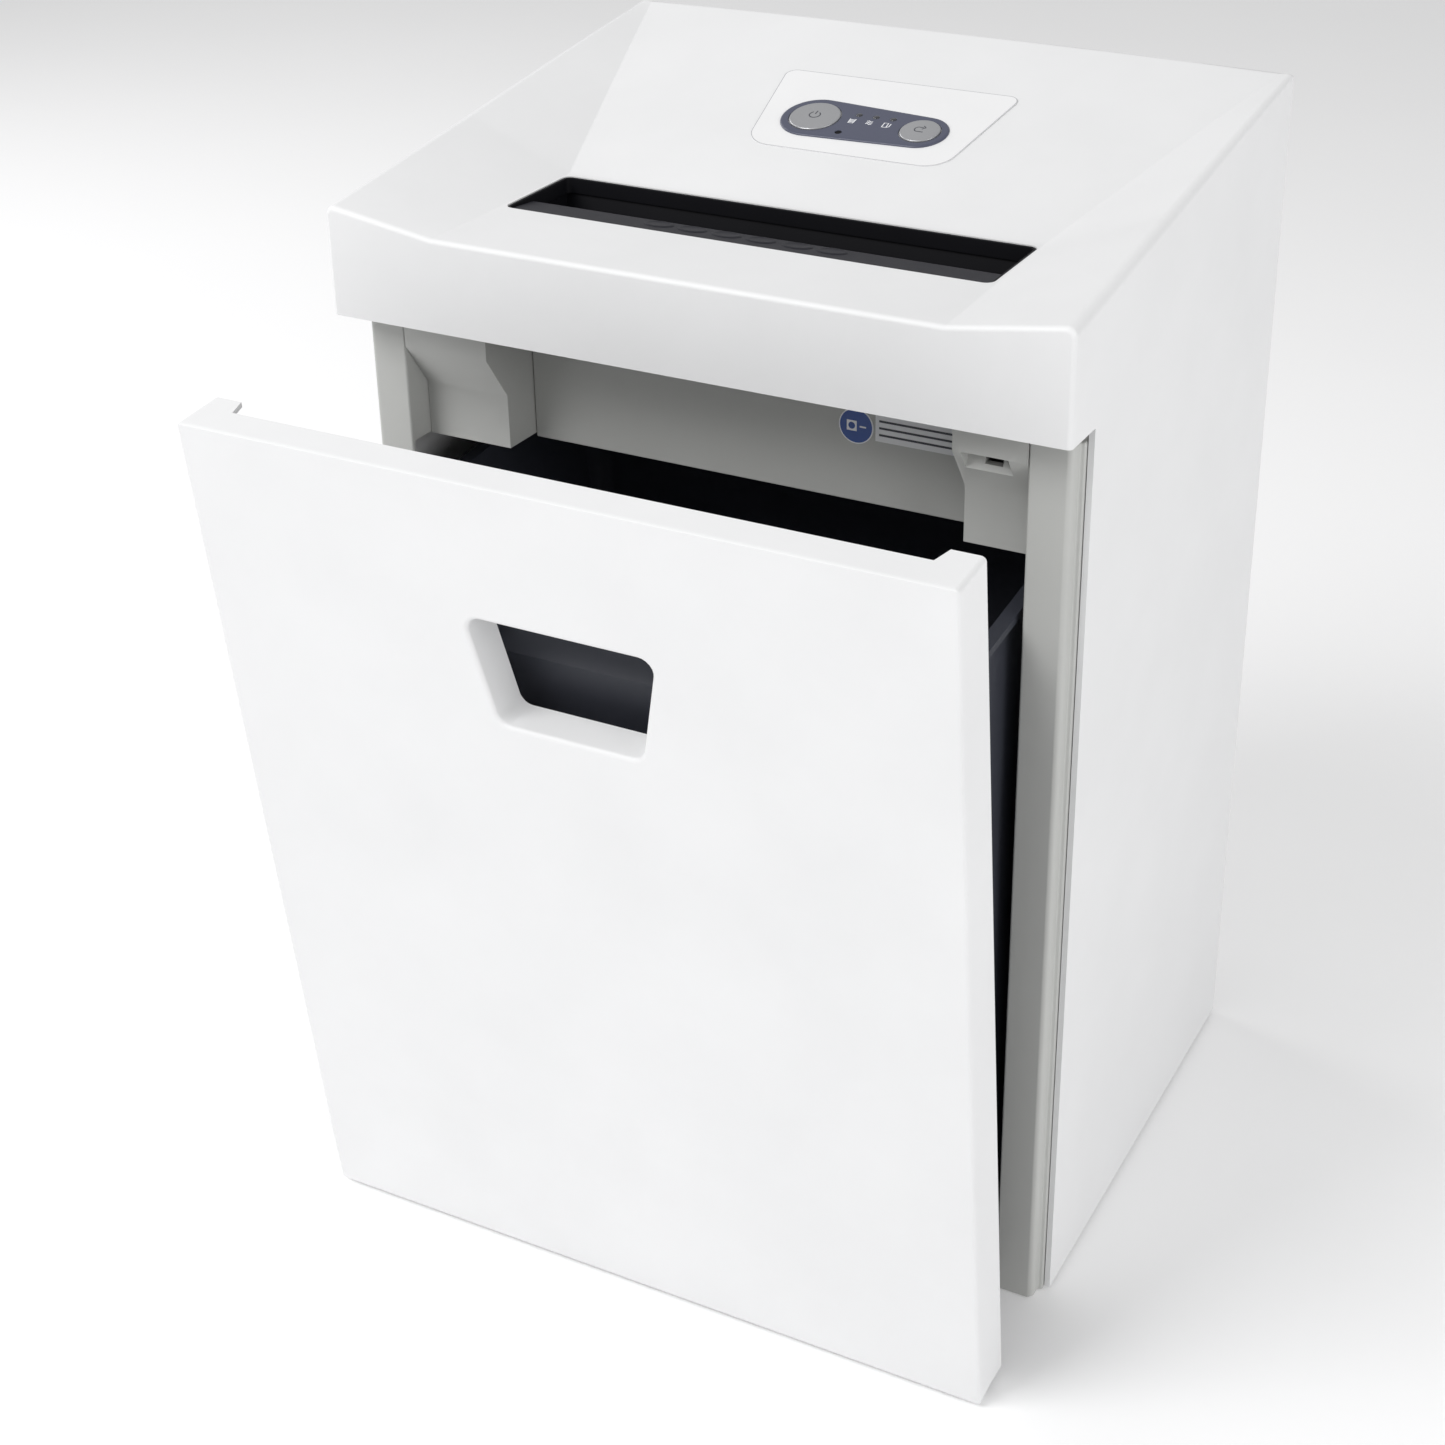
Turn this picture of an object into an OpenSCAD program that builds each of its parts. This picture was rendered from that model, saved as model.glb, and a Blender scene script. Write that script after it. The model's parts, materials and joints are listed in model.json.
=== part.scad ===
// Deskside paper shredder with a pull-out waste bin that carries its own door.
// Millimetres, +Z up, front towards -Y, origin at the centre of the casing's footprint on the floor.
// The shapes are drawn with Y = 0 at the front of the hood and are then moved by place().
// The bin unit is drawn shut and is then pulled out and tipped by opened().

/* [Casing] */
// Width over the side walls
body_w = 398; // [380:1:430]
// Depth from the front of the hood to the back
body_d = 312; // [300:1:340]
// Height at the back of the hood
body_h = 605; // [590:1:640]
// Height of the top of the front fascia
fascia_top = 560; // [545:1:565]
// Height of the bottom of the front fascia
fascia_bottom = 503; // [495:1:510]
// Thickness of the moulded casing
shell = 3; // [2.5:0.1:3.5]
// Distance of the side walls' front edges behind the fascia
side_setback = 30; // [30:1:34]

/* [Paper feed] */
// Length of the paper slot
slot_w = 268; // [250:1:270]
// Front edge of the paper slot
slot_front = 60; // [58:1:66]
// Back edge of the paper slot
slot_back = 120; // [116:1:121]
// Height of the ledge in front of the slot
ledge_z = 551; // [548:1:553]
// Front-to-back opening at the bottom of the paper throat
throat_gap = 8; // [6:0.5:9]

/* [Bin unit] */
// Height of the door's lower edge when shut
door_bottom = 12; // [10:1:14]
// Depth of the door's side flanges
door_flange = 28.5; // [24:0.5:29]
// Half width of the waste bin's body
bin_half_w = 163; // [150:1:164]
// Height of the waste bin's rim when shut
bin_top = 404; // [380:1:405]
// How far the bin unit stands pulled out
pull_out = 66; // [0:1:66]
// How far the bin unit stands tipped forward, in degrees
tip_angle = 6.6; // [0:0.1:6.6]

/* [Cutting unit] */
// Distance between the two cutter shafts, and of their timing gears
cutter_spacing = 40; // [40:0.5:41]
// Radius of the cutting discs
disc_r = 22.5; // [21:0.5:22.5]
// Distance from one disc to the next on a shaft
disc_pitch = 8; // [8:0.5:8]
// Thickness of one cutting disc
disc_t = 3.7; // [3:0.1:3.7]
// Number of discs on the front shaft
disc_count = 29; // [21:2:29]

/* [Hidden] */
$fn = 64;
half_w = body_w / 2;
inner_half = half_w - shell - 0.5;
top_back = body_d - 6;
casing_color = [0.93, 0.93, 0.94];
frame_color = [0.8, 0.81, 0.8];
dark_color = [0.2, 0.21, 0.24];
steel_color = [0.62, 0.63, 0.65];
// The recess in the hood: an almost level ledge, then the control panel up to the back edge.
crease_y = slot_back + 3;
crease_z = ledge_z + 2;
panel_top = [top_back, body_h - 1];
panel_slope = atan((panel_top[1] - crease_z) / (panel_top[0] - crease_y));
recess_x = [slot_w / 2 + 3, slot_w / 2 + 0.5, half_w - 8];
// Head heights and shafts, as [y, z].
head_bottom = 429;
hanger_low = 431;
front_axis = [88, 470];
rear_axis = [front_axis[0] + cutter_spacing, front_axis[1]];
plate_x = 121;
plate_t = 3;
shaft_r = 8;
core_r = 16.5;
bush_r = 12;
run_fit = 0.05;
// Gear train: [module, teeth], all turning about X.
timing_teeth = 20;
timing_m = 2 * cutter_spacing / (2 * timing_teeth);
drive_m = 1.5;
drive_teeth = 50;
small_teeth = 15;
cluster_m = 1.25;
large_teeth = 48;
pinion_teeth = 12;
drive_arm = drive_m * (drive_teeth + small_teeth) / 2;
cluster_arm = cluster_m * (large_teeth + pinion_teeth) / 2;
cluster_angle = 19;
motor_angle = 0;
cluster_axis = rear_axis + drive_arm * [cos(cluster_angle), sin(cluster_angle)];
motor_axis = cluster_axis + cluster_arm * [cos(motor_angle), sin(motor_angle)];
timing_x = -136;
drive_x = -147;
cluster_x = -157;
gear_face = 8;
pinion_face = 7;
// Bin unit, drawn shut.
door_top = fascia_bottom - 1;
door_t = 3;
bin_front = 34;
bin_back = 286;
bin_floor = 15;
bin_t = 2.5;
tip_pivot = [94, 9];
glide_x = 110;
grip_z = [373, 430];
grip_depth = 20;
boss_z = [80, 340];
boss_x = 130;
// Controls, as [x, distance up the panel from the crease].
power_at = [-30.5, 85];
reverse_at = [31.5, 84];
led_at = [[-7.5, 92], [2.5, 92], [12.5, 92]];
sensor_at = [-11, 73];
button_r = [14, 11];
button_gap = 0.4;
button_rise = 2.6;

// ---- shared helpers ----

module place() {
    translate([0, -body_d / 2, 0]) children();
}

// Pulls the shut bin unit out without tipping it.
module pulled() {
    translate([0, -pull_out, 0]) children();
}

// Pulls the shut bin unit out and tips it about the glides' pins.
module opened() {
    pulled() translate([0, tip_pivot[0], tip_pivot[1]]) rotate([tip_angle, 0, 0])
        translate([0, -tip_pivot[0], -tip_pivot[1]]) children();
}

// Extrudes a shape drawn in Y and Z along +X from x0.
module along_x(x0, length) {
    translate([x0, 0, 0]) rotate([90, 0, 90]) linear_extrude(length) children();
}

// A round bar along X between x0 and x1 at [y, z].
module bar_x(x0, x1, at, r) {
    translate([x0, at[0], at[1]]) rotate([0, 90, 0]) cylinder(h = x1 - x0, r = r);
}

// A round bar along Y between y0 and y1 at [x, z].
module bar_y(y0, y1, at, r) {
    translate([at[0], y1, at[1]]) rotate([90, 0, 0]) cylinder(h = y1 - y0, r = r);
}

// Both sides of the object at once.
module both_sides() {
    children();
    mirror([1, 0, 0]) children();
}

// The control panel's own frame: X across, Y up the slope from the crease, Z out of the panel.
module on_panel() {
    translate([0, crease_y, crease_z]) rotate([panel_slope, 0, 0]) children();
}

// A flat outline with rounded corners, from circles and two bars.
module rounded(size, r) {
    for (x = [r - size[0] / 2, size[0] / 2 - r]) for (y = [r - size[1] / 2, size[1] / 2 - r])
        translate([x, y]) circle(r);
    square([size[0] - 2 * r, size[1]], center = true);
    square([size[0], size[1] - 2 * r], center = true);
}

// Involute gear outline, a tooth centred on angle 0.
function roll_off(base, r) = r <= base ? 0 : tan(acos(base / r)) * 180 / PI - acos(base / r);
function polar(r, a) = [r * cos(a), r * sin(a)];
function half_tooth(m, z, r) = let(pitch = m * z / 2, base = pitch * cos(20))
    90 / z - 0.09 * m / pitch * 180 / PI + roll_off(base, pitch) - roll_off(base, r);
function flank_radii(m, z) = let(pitch = m * z / 2, low = max(pitch * cos(20), pitch - 1.2 * m))
    [for (i = [0 : 3]) low + (pitch + 0.9 * m - low) * i / 3];
function gear_points(m, z) = let(radii = flank_radii(m, z), root = m * z / 2 - 1.2 * m)
    [for (k = [0 : z - 1]) let(a = 360 * k / z) each concat(
        [polar(root, a - half_tooth(m, z, radii[0]) - 1 / z)],
        [for (r = radii) polar(r, a - half_tooth(m, z, r))],
        [for (i = [3 : -1 : 0]) polar(radii[i], a + half_tooth(m, z, radii[i]))],
        [polar(root, a + half_tooth(m, z, radii[0]) + 1 / z)])];

// A gear on the X axis whose tooth or gap faces the angle "phase", bored for its shaft.
module gear_x(m, z, x0, width, at, phase, bore) {
    along_x(x0, width) translate(at) difference() {
        rotate(phase) polygon(gear_points(m, z));
        circle(bore);
    }
}

// ---- casing ----

// Recess stations from front to back: [y, half width of the floor, floor height].
function floor_z(y) = y <= crease_y ? ledge_z + (crease_z - ledge_z) * y / crease_y
    : crease_z + (y - crease_y) * tan(panel_slope);
function floor_x(y) = y <= crease_y ? recess_x[0] + (recess_x[1] - recess_x[0]) * y / crease_y
    : recess_x[1] + (recess_x[2] - recess_x[1]) * (y - crease_y) / (top_back - crease_y);
function rim_z(y) = fascia_top + (body_h - fascia_top) * y / top_back;
recess_y = [-4, crease_y, crease_y + 60, crease_y + 120, top_back + 10];

// Everything above the recess's ledge, control panel and wings, lowered by "drop".
module recess(drop) {
    rim = half_w - 2;
    n = len(recess_y);
    sky = body_h + 60;
    ring = [for (y = recess_y) each [[-rim, y, rim_z(y) - drop], [-floor_x(y), y, floor_z(y) - drop],
        [floor_x(y), y, floor_z(y) - drop], [rim, y, rim_z(y) - drop], [rim, y, sky], [-rim, y, sky]]];
    strips = [for (i = [0 : n - 2]) for (k = [0 : 5]) let(a = 6 * i + k, b = 6 * i + (k + 1) % 6)
        each [[a, b, b + 6], [a, b + 6, a + 6]]];
    ends = [[5, 4, 3, 2, 1, 0], [for (k = [0 : 5]) 6 * (n - 1) + k]];
    polyhedron(points = ring, faces = concat(strips, ends), convexity = 6);
}

// The hood seen from the side, inset by "t" on every side but the bottom.
module hood_profile(t) {
    polygon([[t, fascia_bottom - (t > 0 ? 1 : 0)], [t, fascia_top - 4], [t + 3, fascia_top - t * 0.8],
        [top_back - t, body_h - t], [body_d - t, body_h - 6 - t], [body_d - t, fascia_bottom - (t > 0 ? 1 : 0)]]);
}

module casing_shell() color(casing_color) place() difference() {
    union() {
        difference() {
            along_x(-half_w, body_w) hood_profile(0);
            difference() {
                along_x(shell - half_w, body_w - 2 * shell) hood_profile(shell);
                recess(shell * 1.05);
            }
        }
        both_sides() along_x(half_w - shell, shell)
            polygon([[side_setback, 2], [body_d, 2], [body_d, fascia_bottom + 1], [side_setback, fascia_bottom + 1]]);
        // lip turned in under the fascia
        translate([1 - half_w, 1, fascia_bottom]) cube([body_w - 2, 11, 2.5]);
    }
    recess(0);
    // paper slot
    translate([0, (slot_front + slot_back) / 2, ledge_z - 12]) linear_extrude(40)
        rounded([slot_w, slot_back - slot_front], 5);
    // seat of the control bezel
    on_panel() translate([0, 0, -8]) linear_extrude(20) bezel_outline(0.3);
    // room for the rear cover below the hood's back band
    translate([shell - half_w - 1, body_d - 20, 0]) cube([body_w - 2 * shell + 2, 30, fascia_bottom + 57]);
    translate([-inner_half - 0.5, body_d - 60, 0]) cube([2 * inner_half + 1, 70, fascia_bottom]);
}

// Vent slots, power inlet cut-out and screw holes in a flat cover.
module rear_cover() color(casing_color) place() difference() {
    translate([-inner_half + 0.3, body_d - 3.5, 4]) cube([2 * inner_half - 0.6, 3, fascia_bottom + 52]);
    for (side = [-1, 1]) for (row = [0 : 7])
        translate([side * 75 - 23, body_d - 5, 455 + row * 9]) cube([46, 10, 4]);
    translate([-131, body_d - 5, 399]) cube([28, 10, 20.4]);
    for (at = rear_screw_at) bar_y(body_d - 6, body_d + 2, at, 2.1);
}
rear_screw_at = [for (x = [-182, 182]) for (z = [20, 280, 545]) [x, z]];

module rear_screws() color(steel_color) place() for (at = rear_screw_at) {
    bar_y(body_d - 8, body_d - 0.4, at, 1.9);
    bar_y(body_d - 0.4, body_d + 1.4, at, 3.8);
}

// Floor of the cabinet, with guide ribs for the glides and pockets for the pads.
module base_tray() color(frame_color) place() difference() {
    union() {
        translate([0.2 - inner_half, 44.2, 0]) cube([2 * inner_half - 0.4, body_d - 49.2, 3]);
        both_sides() {
            translate([inner_half - 2.7, 46, 3]) cube([2.5, body_d - 52, 11]);
            for (x = [glide_x - 19, glide_x + 16]) translate([x, 46, 3]) cube([3, 236, 5]);
        }
        translate([0.2 - inner_half, body_d - 7.5, 3]) cube([2 * inner_half - 0.4, 2.5, 11]);
    }
    for (at = pad_at) translate([at[0], at[1], -1]) cylinder(h = 2.8, r = 12.2);
}
pad_at = [for (x = [-170, 170]) for (y = [62, 282]) [x, y]];

module floor_pads() color(dark_color) place() for (at = pad_at)
    translate([at[0], at[1], 0]) cylinder(h = 1.8, r = 12);

// Two posts with a rebate for the door's flanges, a low sill and a hidden top rail.
module front_frame() color(frame_color) place() {
    both_sides() {
        linear_extrude(hanger_low) polygon([[171.5, 19.5], [191, 19.5], [193, 21.5], [193, 28],
            [inner_half, 28], [inner_half, 34], [190, 34], [190, 22.5], [171.5, 22.5]]);
        // deeper return beside the carriers
        translate([0, 0, hanger_low]) linear_extrude(fascia_bottom - 7 - hanger_low)
            polygon([[171.5, 19.5], [191, 19.5], [193, 21.5], [193, 28], [inner_half, 28], [inner_half, 34],
                [174.5, 34], [174.5, 44], [171.5, 44]]);
        translate([177, 31, fascia_bottom - 7]) cube([inner_half - 177, 3, 34]);
    }
    translate([-172, 19.5, 0]) cube([344, 3.5, 3]);
    translate([-190, 22.5, 0]) cube([380, 21.5, 3]);
    translate([-inner_half, 31, fascia_bottom + 27]) cube([2 * inner_half, 3, 12]);
}

// Carrier of the cutting unit: flush strip, slope, then an upright face above the bin.
hanger_x = [122, 171.2];
right_face_x = 133.5;
module hanger(x0) difference() {
    along_x(x0, hanger_x[1] - x0) polygon([[19.5, fascia_bottom - 1], [19.5, 484], [36, 460], [36, hanger_low],
        [63.2, hanger_low], [63.2, fascia_bottom - 1]]);
    along_x(x0 + shell, hanger_x[1] - x0 - 2 * shell) polygon([[22.5, fascia_bottom + 2], [22.5, 483],
        [39, 459], [39, hanger_low - 1], [60, hanger_low - 1], [60, fascia_bottom + 2]]);
}
module hanger_holes() {
    for (z = screw_z) bar_y(59, 66, [screw_x, z], 1.2);
}

module left_hanger() color(frame_color) place() mirror([1, 0, 0]) difference() {
    hanger(hanger_x[0]);
    hanger_holes();
}

// The right one is narrower, on a flange, and has the niche and slit that take the door's switch tab.
module right_hanger() color(frame_color) place() difference() {
    union() {
        hanger(right_face_x);
        translate([hanger_x[0], 62.6, head_bottom]) cube([30, 1.2, fascia_bottom - 1 - head_bottom]);
        along_x(136, 27) polygon([[21, 482.5], [21, 486.5], [33, 483.5], [33, 477], [31, 470], [29, 470.5]]);
    }
    along_x(137.5, 24) polygon([[18, 484], [19.5, 484], [30, 480], [26.7, 473.5], [18, 473.5]]);
    translate([146.5, 20, 476.5]) cube([9, 24, 7.5]);
    hanger_holes();
}

// Pale wall in front of the cutters.
module chip_guard() color(frame_color) place()
    translate([-hanger_x[0] + 0.4, 60, head_bottom])
        cube([hanger_x[0] + right_face_x - 0.6, 2.5, fascia_bottom - head_bottom]);

// Plain round and rectangular sticker beside the right-hand carrier.
module guard_sticker() color([0.12, 0.25, 0.5]) place() {
    bar_y(59.6, 60, [65, 469], 9.3);
    translate([75.5, 59.6, 463]) cube([57.5, 0.4, 29]);
}

// ---- paper feed and controls ----

// Dark funnel under the slot, open at the bottom, with an almost level lip inside the slot's front.
module throat_guide() color(dark_color) place() difference() {
    gap_0 = slot_back - 12 - throat_gap / 2;
    gap_1 = gap_0 + throat_gap;
    low = 498;
    top = ledge_z - 5.2;
    half = slot_w / 2;
    union() {
        along_x(-half, slot_w) polygon([[slot_front - 3, top], [slot_front + 0.4, top],
            [slot_front + 0.4, ledge_z - 0.2], [slot_front + 24, ledge_z - 2], [slot_front + 31, 540], [gap_0, 514],
            [gap_0, low], [gap_0 - 2.5, low], [gap_0 - 2.5, 513], [slot_front + 28.5, 536.5],
            [slot_front + 22.5, ledge_z - 4.5], [slot_front + 4, ledge_z - 3], [slot_front - 3, top - 3]]);
        along_x(-half, slot_w) polygon([[slot_back + 2.5, top], [slot_back, top], [gap_1, 514], [gap_1, low],
            [gap_1 + 2.5, low], [gap_1 + 2.5, 513]]);
        both_sides() along_x(half, 2.5) polygon([[slot_front - 3, top], [slot_back + 2.5, top],
            [gap_1 + 2.5, 513], [gap_1 + 2.5, low], [gap_0 - 2.5, low], [gap_0 - 2.5, 513],
            [slot_front + 28.5, top - 11.5], [slot_front - 3, top - 3]]);
    }
    // room for the casing round the lip
    translate([0, 0, top]) linear_extrude(10) difference() {
        translate([-half - 5, slot_front - 5]) square([slot_w + 10, slot_back - slot_front + 10]);
        translate([0, (slot_front + slot_back) / 2]) rounded([slot_w - 0.6, slot_back - slot_front - 0.6], 4.7);
    }
}

// Points on an arc about a centre, counter-clockwise.
function arc_points(centre, r, from, to) = [for (i = [0 : 24]) centre + polar(r, from + (to - from) * i / 24)];

// Thin foil around the controls, a rounded trapezoid: top and bottom edge, corner radii and centres.
label_y = [132, 53];
label_r = [6, 16];
label_x = [62.9, 43.25];
label_lean = 9.5;
module control_label() color([0.9, 0.9, 0.92]) place() on_panel() translate([0, 0, 0.02])
    linear_extrude(0.4) difference() {
        top = [label_x[0], label_y[0] - label_r[0]];
        low = [label_x[1], label_y[1] + label_r[1]];
        polygon(concat(arc_points(low, label_r[1], -90, -label_lean), arc_points(top, label_r[0], -label_lean, 90),
            arc_points([-top[0], top[1]], label_r[0], 90, 180 + label_lean),
            arc_points([-low[0], low[1]], label_r[1], 180 + label_lean, 270)));
        bezel_outline(0.6);
    }

// A pill whose two ends fit the two buttons, grown by "grow".
bezel_r = [19, 15.5];
module bezel_outline(grow) {
    lean = asin((bezel_r[0] - bezel_r[1]) / norm(reverse_at - power_at));
    tilt = atan2(reverse_at[1] - power_at[1], reverse_at[0] - power_at[0]);
    polygon(concat(arc_points(reverse_at, bezel_r[1] + grow, tilt + lean - 90, tilt + 90 - lean),
        arc_points(power_at, bezel_r[0] + grow, tilt + 90 - lean, tilt + 270 + lean)));
}

module control_bezel() color([0.32, 0.34, 0.41]) place() on_panel() difference() {
    translate([0, 0, -3]) linear_extrude(4.2) bezel_outline(0);
    translate([power_at[0], power_at[1], -5]) cylinder(h = 10, r = button_r[0] + button_gap);
    translate([reverse_at[0], reverse_at[1], -5]) cylinder(h = 10, r = button_r[1] + button_gap);
    for (at = led_at) translate([at[0], at[1], -5]) cylinder(h = 10, r = 1.6);
    translate([sensor_at[0], sensor_at[1], -5]) cylinder(h = 10, r = 1.8);
}

// A button cap with a retaining collar and a stem to its switch.
module button(at, r) translate([at[0], at[1], 0]) {
    translate([0, 0, -3.6]) cylinder(h = 3.6 + button_rise, r = r);
    translate([0, 0, -5]) cylinder(h = 1.4, r = r + 1.6);
    translate([0, 0, -6]) cylinder(h = 1.2, r = 3);
}

module power_button() color("silver") place() on_panel() button(power_at, button_r[0]);
module reverse_button() color("silver") place() on_panel() button(reverse_at, button_r[1]);

module led_lenses() color([0.85, 0.87, 0.9]) place() on_panel() for (at = led_at)
    translate([at[0], at[1], -3]) cylinder(h = 4.3, r = 1.6);

module light_sensor() color([0.1, 0.1, 0.12]) place() on_panel()
    translate([sensor_at[0], sensor_at[1], -3]) cylinder(h = 4, r = 1.8);

board_z = -12;
module control_board() color([0.1, 0.35, 0.2]) place() on_panel()
    translate([-58, 60, board_z]) cube([116, 50, 1.6]);

module button_switches() color([0.15, 0.15, 0.16]) place() on_panel() for (at = [power_at, reverse_at])
    translate([at[0] - 3, at[1] - 3, board_z + 1.6]) cube([6, 6, 3]);

// ---- cutting unit ----

module plate(x0) difference() {
    along_x(x0, plate_t) difference() {
        polygon([[64, 434], [262, 434], [262, 500], [254, 508], [165, 508], [153, 496.5], [64, 496.5]]);
        for (at = [front_axis, rear_axis]) translate(at) circle(bush_r);
        for (at = rod_at) translate(at) circle(2.1);
    }
    for (x = [-screw_x, screw_x]) for (z = screw_z) bar_y(63, 66.2, [x, z], 1.2);
}
rod_at = [[73, 441], [144, 441], [69, 489], [252, 446]];
screw_x = hanger_x[0] + 1.4;
screw_z = [452, 478];
motor_bolt_r = 22;
motor_bolts = [for (a = [45 : 90 : 315]) motor_axis + polar(motor_bolt_r, a)];

module left_plate() color(steel_color) place() difference() {
    plate(-plate_x - plate_t);
    along_x(-plate_x - plate_t - 1, plate_t + 2) {
        translate(motor_axis) circle(9);
        translate(cluster_axis) circle(4);
        for (at = motor_bolts) translate(at) circle(2.1);
    }
}
module right_plate() color(steel_color) place() plate(plate_x);

module tie_rods() color(steel_color) place() for (at = rod_at) bar_x(-plate_x, plate_x, at, 4);

module plate_screws() color([0.35, 0.36, 0.38]) place() both_sides() for (at = rod_at) {
    bar_x(plate_x, plate_x + plate_t, at, 2);
    bar_x(plate_x + plate_t, plate_x + plate_t + 2.4, at, 3.6);
}

// Bar behind the plates that carries the head on the casing's sides.
module head_crossbar() color(steel_color) place()
    translate([-inner_half, 262.2, 446]) cube([2 * inner_half, 4, 34]);

module shaft_bushes() color([0.72, 0.55, 0.3]) place() both_sides() for (at = [front_axis, rear_axis])
    along_x(plate_x - 0.5, plate_t + 1.5) translate(at) difference() {
        circle(bush_r);
        circle(shaft_r + run_fit);
    }

// A cutter: a shaft with a core and square-edged discs, turned in one outline.
module cutter(at, count, x0, x1) translate([0, at[0], at[1]]) rotate([0, 90, 0]) {
    reach = plate_x - 2;
    discs = [for (i = [0 : count - 1]) let(c = (i - (count - 1) / 2) * disc_pitch)
        each [[core_r, c - disc_t / 2], [disc_r, c - disc_t / 2], [disc_r, c + disc_t / 2], [core_r, c + disc_t / 2]]];
    rotate_extrude() polygon(concat([[0, x0], [shaft_r, x0], [shaft_r, -reach], [core_r, -reach]], discs,
        [[core_r, reach], [shaft_r, reach], [shaft_r, x1], [0, x1]]));
}

module front_cutter() color(steel_color) place() cutter(front_axis, disc_count, timing_x - 1, plate_x + 8);
module rear_cutter() color(steel_color) place() cutter(rear_axis, disc_count - 1, drive_x - 2, plate_x + 8);

// Fingers that reach between a shaft's discs, on a back bar. "side" is -1 in front, 1 behind.
module comb(at, count, side) {
    root = at[0] + side * (core_r + 0.7);
    bar = at[0] + side * (disc_r + 1);
    lo = min(root, bar + side * 1.2);
    translate([-plate_x, side < 0 ? bar - 2 : bar, at[1] - 8]) cube([2 * plate_x, 2, 16]);
    for (i = [0 : count - 2]) translate([(i - (count - 2) / 2) * disc_pitch - 1.6, lo, at[1] - 6])
        cube([3.2, abs(bar + side * 1.2 - root), 12]);
}
module front_comb() color([0.75, 0.76, 0.78]) place() comb(front_axis, disc_count, -1);
module rear_comb() color([0.75, 0.76, 0.78]) place() comb(rear_axis, disc_count - 1, 1);

module front_timing_gear() color([0.55, 0.56, 0.58]) place()
    gear_x(timing_m, timing_teeth, timing_x, gear_face, front_axis, 0, shaft_r);
module rear_timing_gear() color([0.55, 0.56, 0.58]) place()
    gear_x(timing_m, timing_teeth, timing_x, gear_face, rear_axis, 180 + 180 / timing_teeth, shaft_r);
module drive_gear() color([0.9, 0.88, 0.8]) place()
    gear_x(drive_m, drive_teeth, drive_x, gear_face, rear_axis, cluster_angle, shaft_r);

// Large and small gear in one moulding on the stud.
module cluster_gear() color([0.9, 0.88, 0.8]) place() {
    gear_x(drive_m, small_teeth, drive_x - 0.8, gear_face + 0.8, cluster_axis,
        cluster_angle + 180 + 180 / small_teeth, 4 + run_fit);
    gear_x(cluster_m, large_teeth, cluster_x, pinion_face + 2.2, cluster_axis, motor_angle, 4 + run_fit);
}
module cluster_stud() color(steel_color) place() bar_x(cluster_x - 2, -plate_x, cluster_axis, 4);

module motor_pinion() color([0.5, 0.51, 0.53]) place()
    gear_x(cluster_m, pinion_teeth, cluster_x, pinion_face, motor_axis, motor_angle + 180 + 180 / pinion_teeth, 3.5);
module motor_shaft() color(steel_color) place() bar_x(cluster_x - 1, 38, motor_axis, 3.5);

module motor_rotor() color([0.5, 0.5, 0.52]) place() along_x(-96, 108) translate(motor_axis) difference() {
    circle(21);
    circle(3.5);
}
module motor_body() color([0.3, 0.31, 0.33]) place() along_x(-104, 124) translate(motor_axis) difference() {
    circle(31);
    circle(25);
}
module motor_end_caps() color([0.66, 0.67, 0.69]) place() difference() {
    for (x0 = [-120.9, 20]) along_x(x0, 16.8) translate(motor_axis) difference() {
        circle(31);
        circle(3.6);
    }
    for (at = motor_bolts) bar_x(-122, -110, at, 1.9);
}
module motor_screws() color([0.35, 0.36, 0.38]) place() for (at = motor_bolts) {
    bar_x(-plate_x - plate_t, -110.5, at, 1.9);
    bar_x(-plate_x - plate_t - 2.2, -plate_x - plate_t, at, 3.4);
}

// Retaining ring on a cutter shaft, outside the right-hand bush.
module shaft_clip(at) along_x(plate_x + plate_t + 1.4, 1.2) translate(at) difference() {
    circle(11);
    circle(shaft_r);
}
module front_clip() color([0.35, 0.36, 0.38]) place() shaft_clip(front_axis);
module rear_clip() color([0.35, 0.36, 0.38]) place() shaft_clip(rear_axis);

// ---- electrics ----

module drive_board() color([0.1, 0.35, 0.2]) place() {
    translate([136, 150, 446]) cube([1.6, 96, 56]);
    translate([137.6, 160, 452]) cube([16, 26, 22]);
    translate([137.6, 200, 454]) cube([12, 18, 12]);
    translate([137.6, 226, 454]) cube([20, 12, 26]);
}
module motor_capacitor() color([0.85, 0.85, 0.82]) place() bar_x(48, 104, [205, 470], 15);

// Mains inlet in the rear cover, with three flat contacts.
module power_inlet() color([0.12, 0.12, 0.13]) place() translate([-117, body_d - 0.5, 409.2]) {
    difference() {
        union() {
            translate([-13.8, -18, -10]) cube([27.6, 18, 20]);
            translate([-17, 0, -13]) cube([34, 2, 26]);
        }
        translate([-12, -15, -8]) cube([24, 20, 16]);
    }
    for (at = [[-7, -3], [0, 1], [7, -3]]) translate([at[0] - 1, -15.5, at[1] - 2]) cube([2, 10, 4]);
}

module door_switch() color([0.15, 0.15, 0.16]) place() translate([141, 41.5, 476]) cube([20, 18.5, 10]);
module switch_tab() color(frame_color) place() opened() translate([148, door_t, 478]) cube([6, 37.5, 5]);

module paper_sensor() color([0.15, 0.15, 0.16]) place() {
    translate([-6, slot_front + 24.4, 518]) cube([12, 8.6, 10]);
    translate([-6, slot_back - 1.6, 518]) cube([12, 8, 10]);
}

module hanger_screws() color([0.35, 0.36, 0.38]) place() for (z = screw_z) {
    bar_y(60, 65.7, [-screw_x, z], 1.1);
    bar_y(62.7, 65.7, [screw_x, z], 1.1);
}

// ---- bin unit ----

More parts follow.
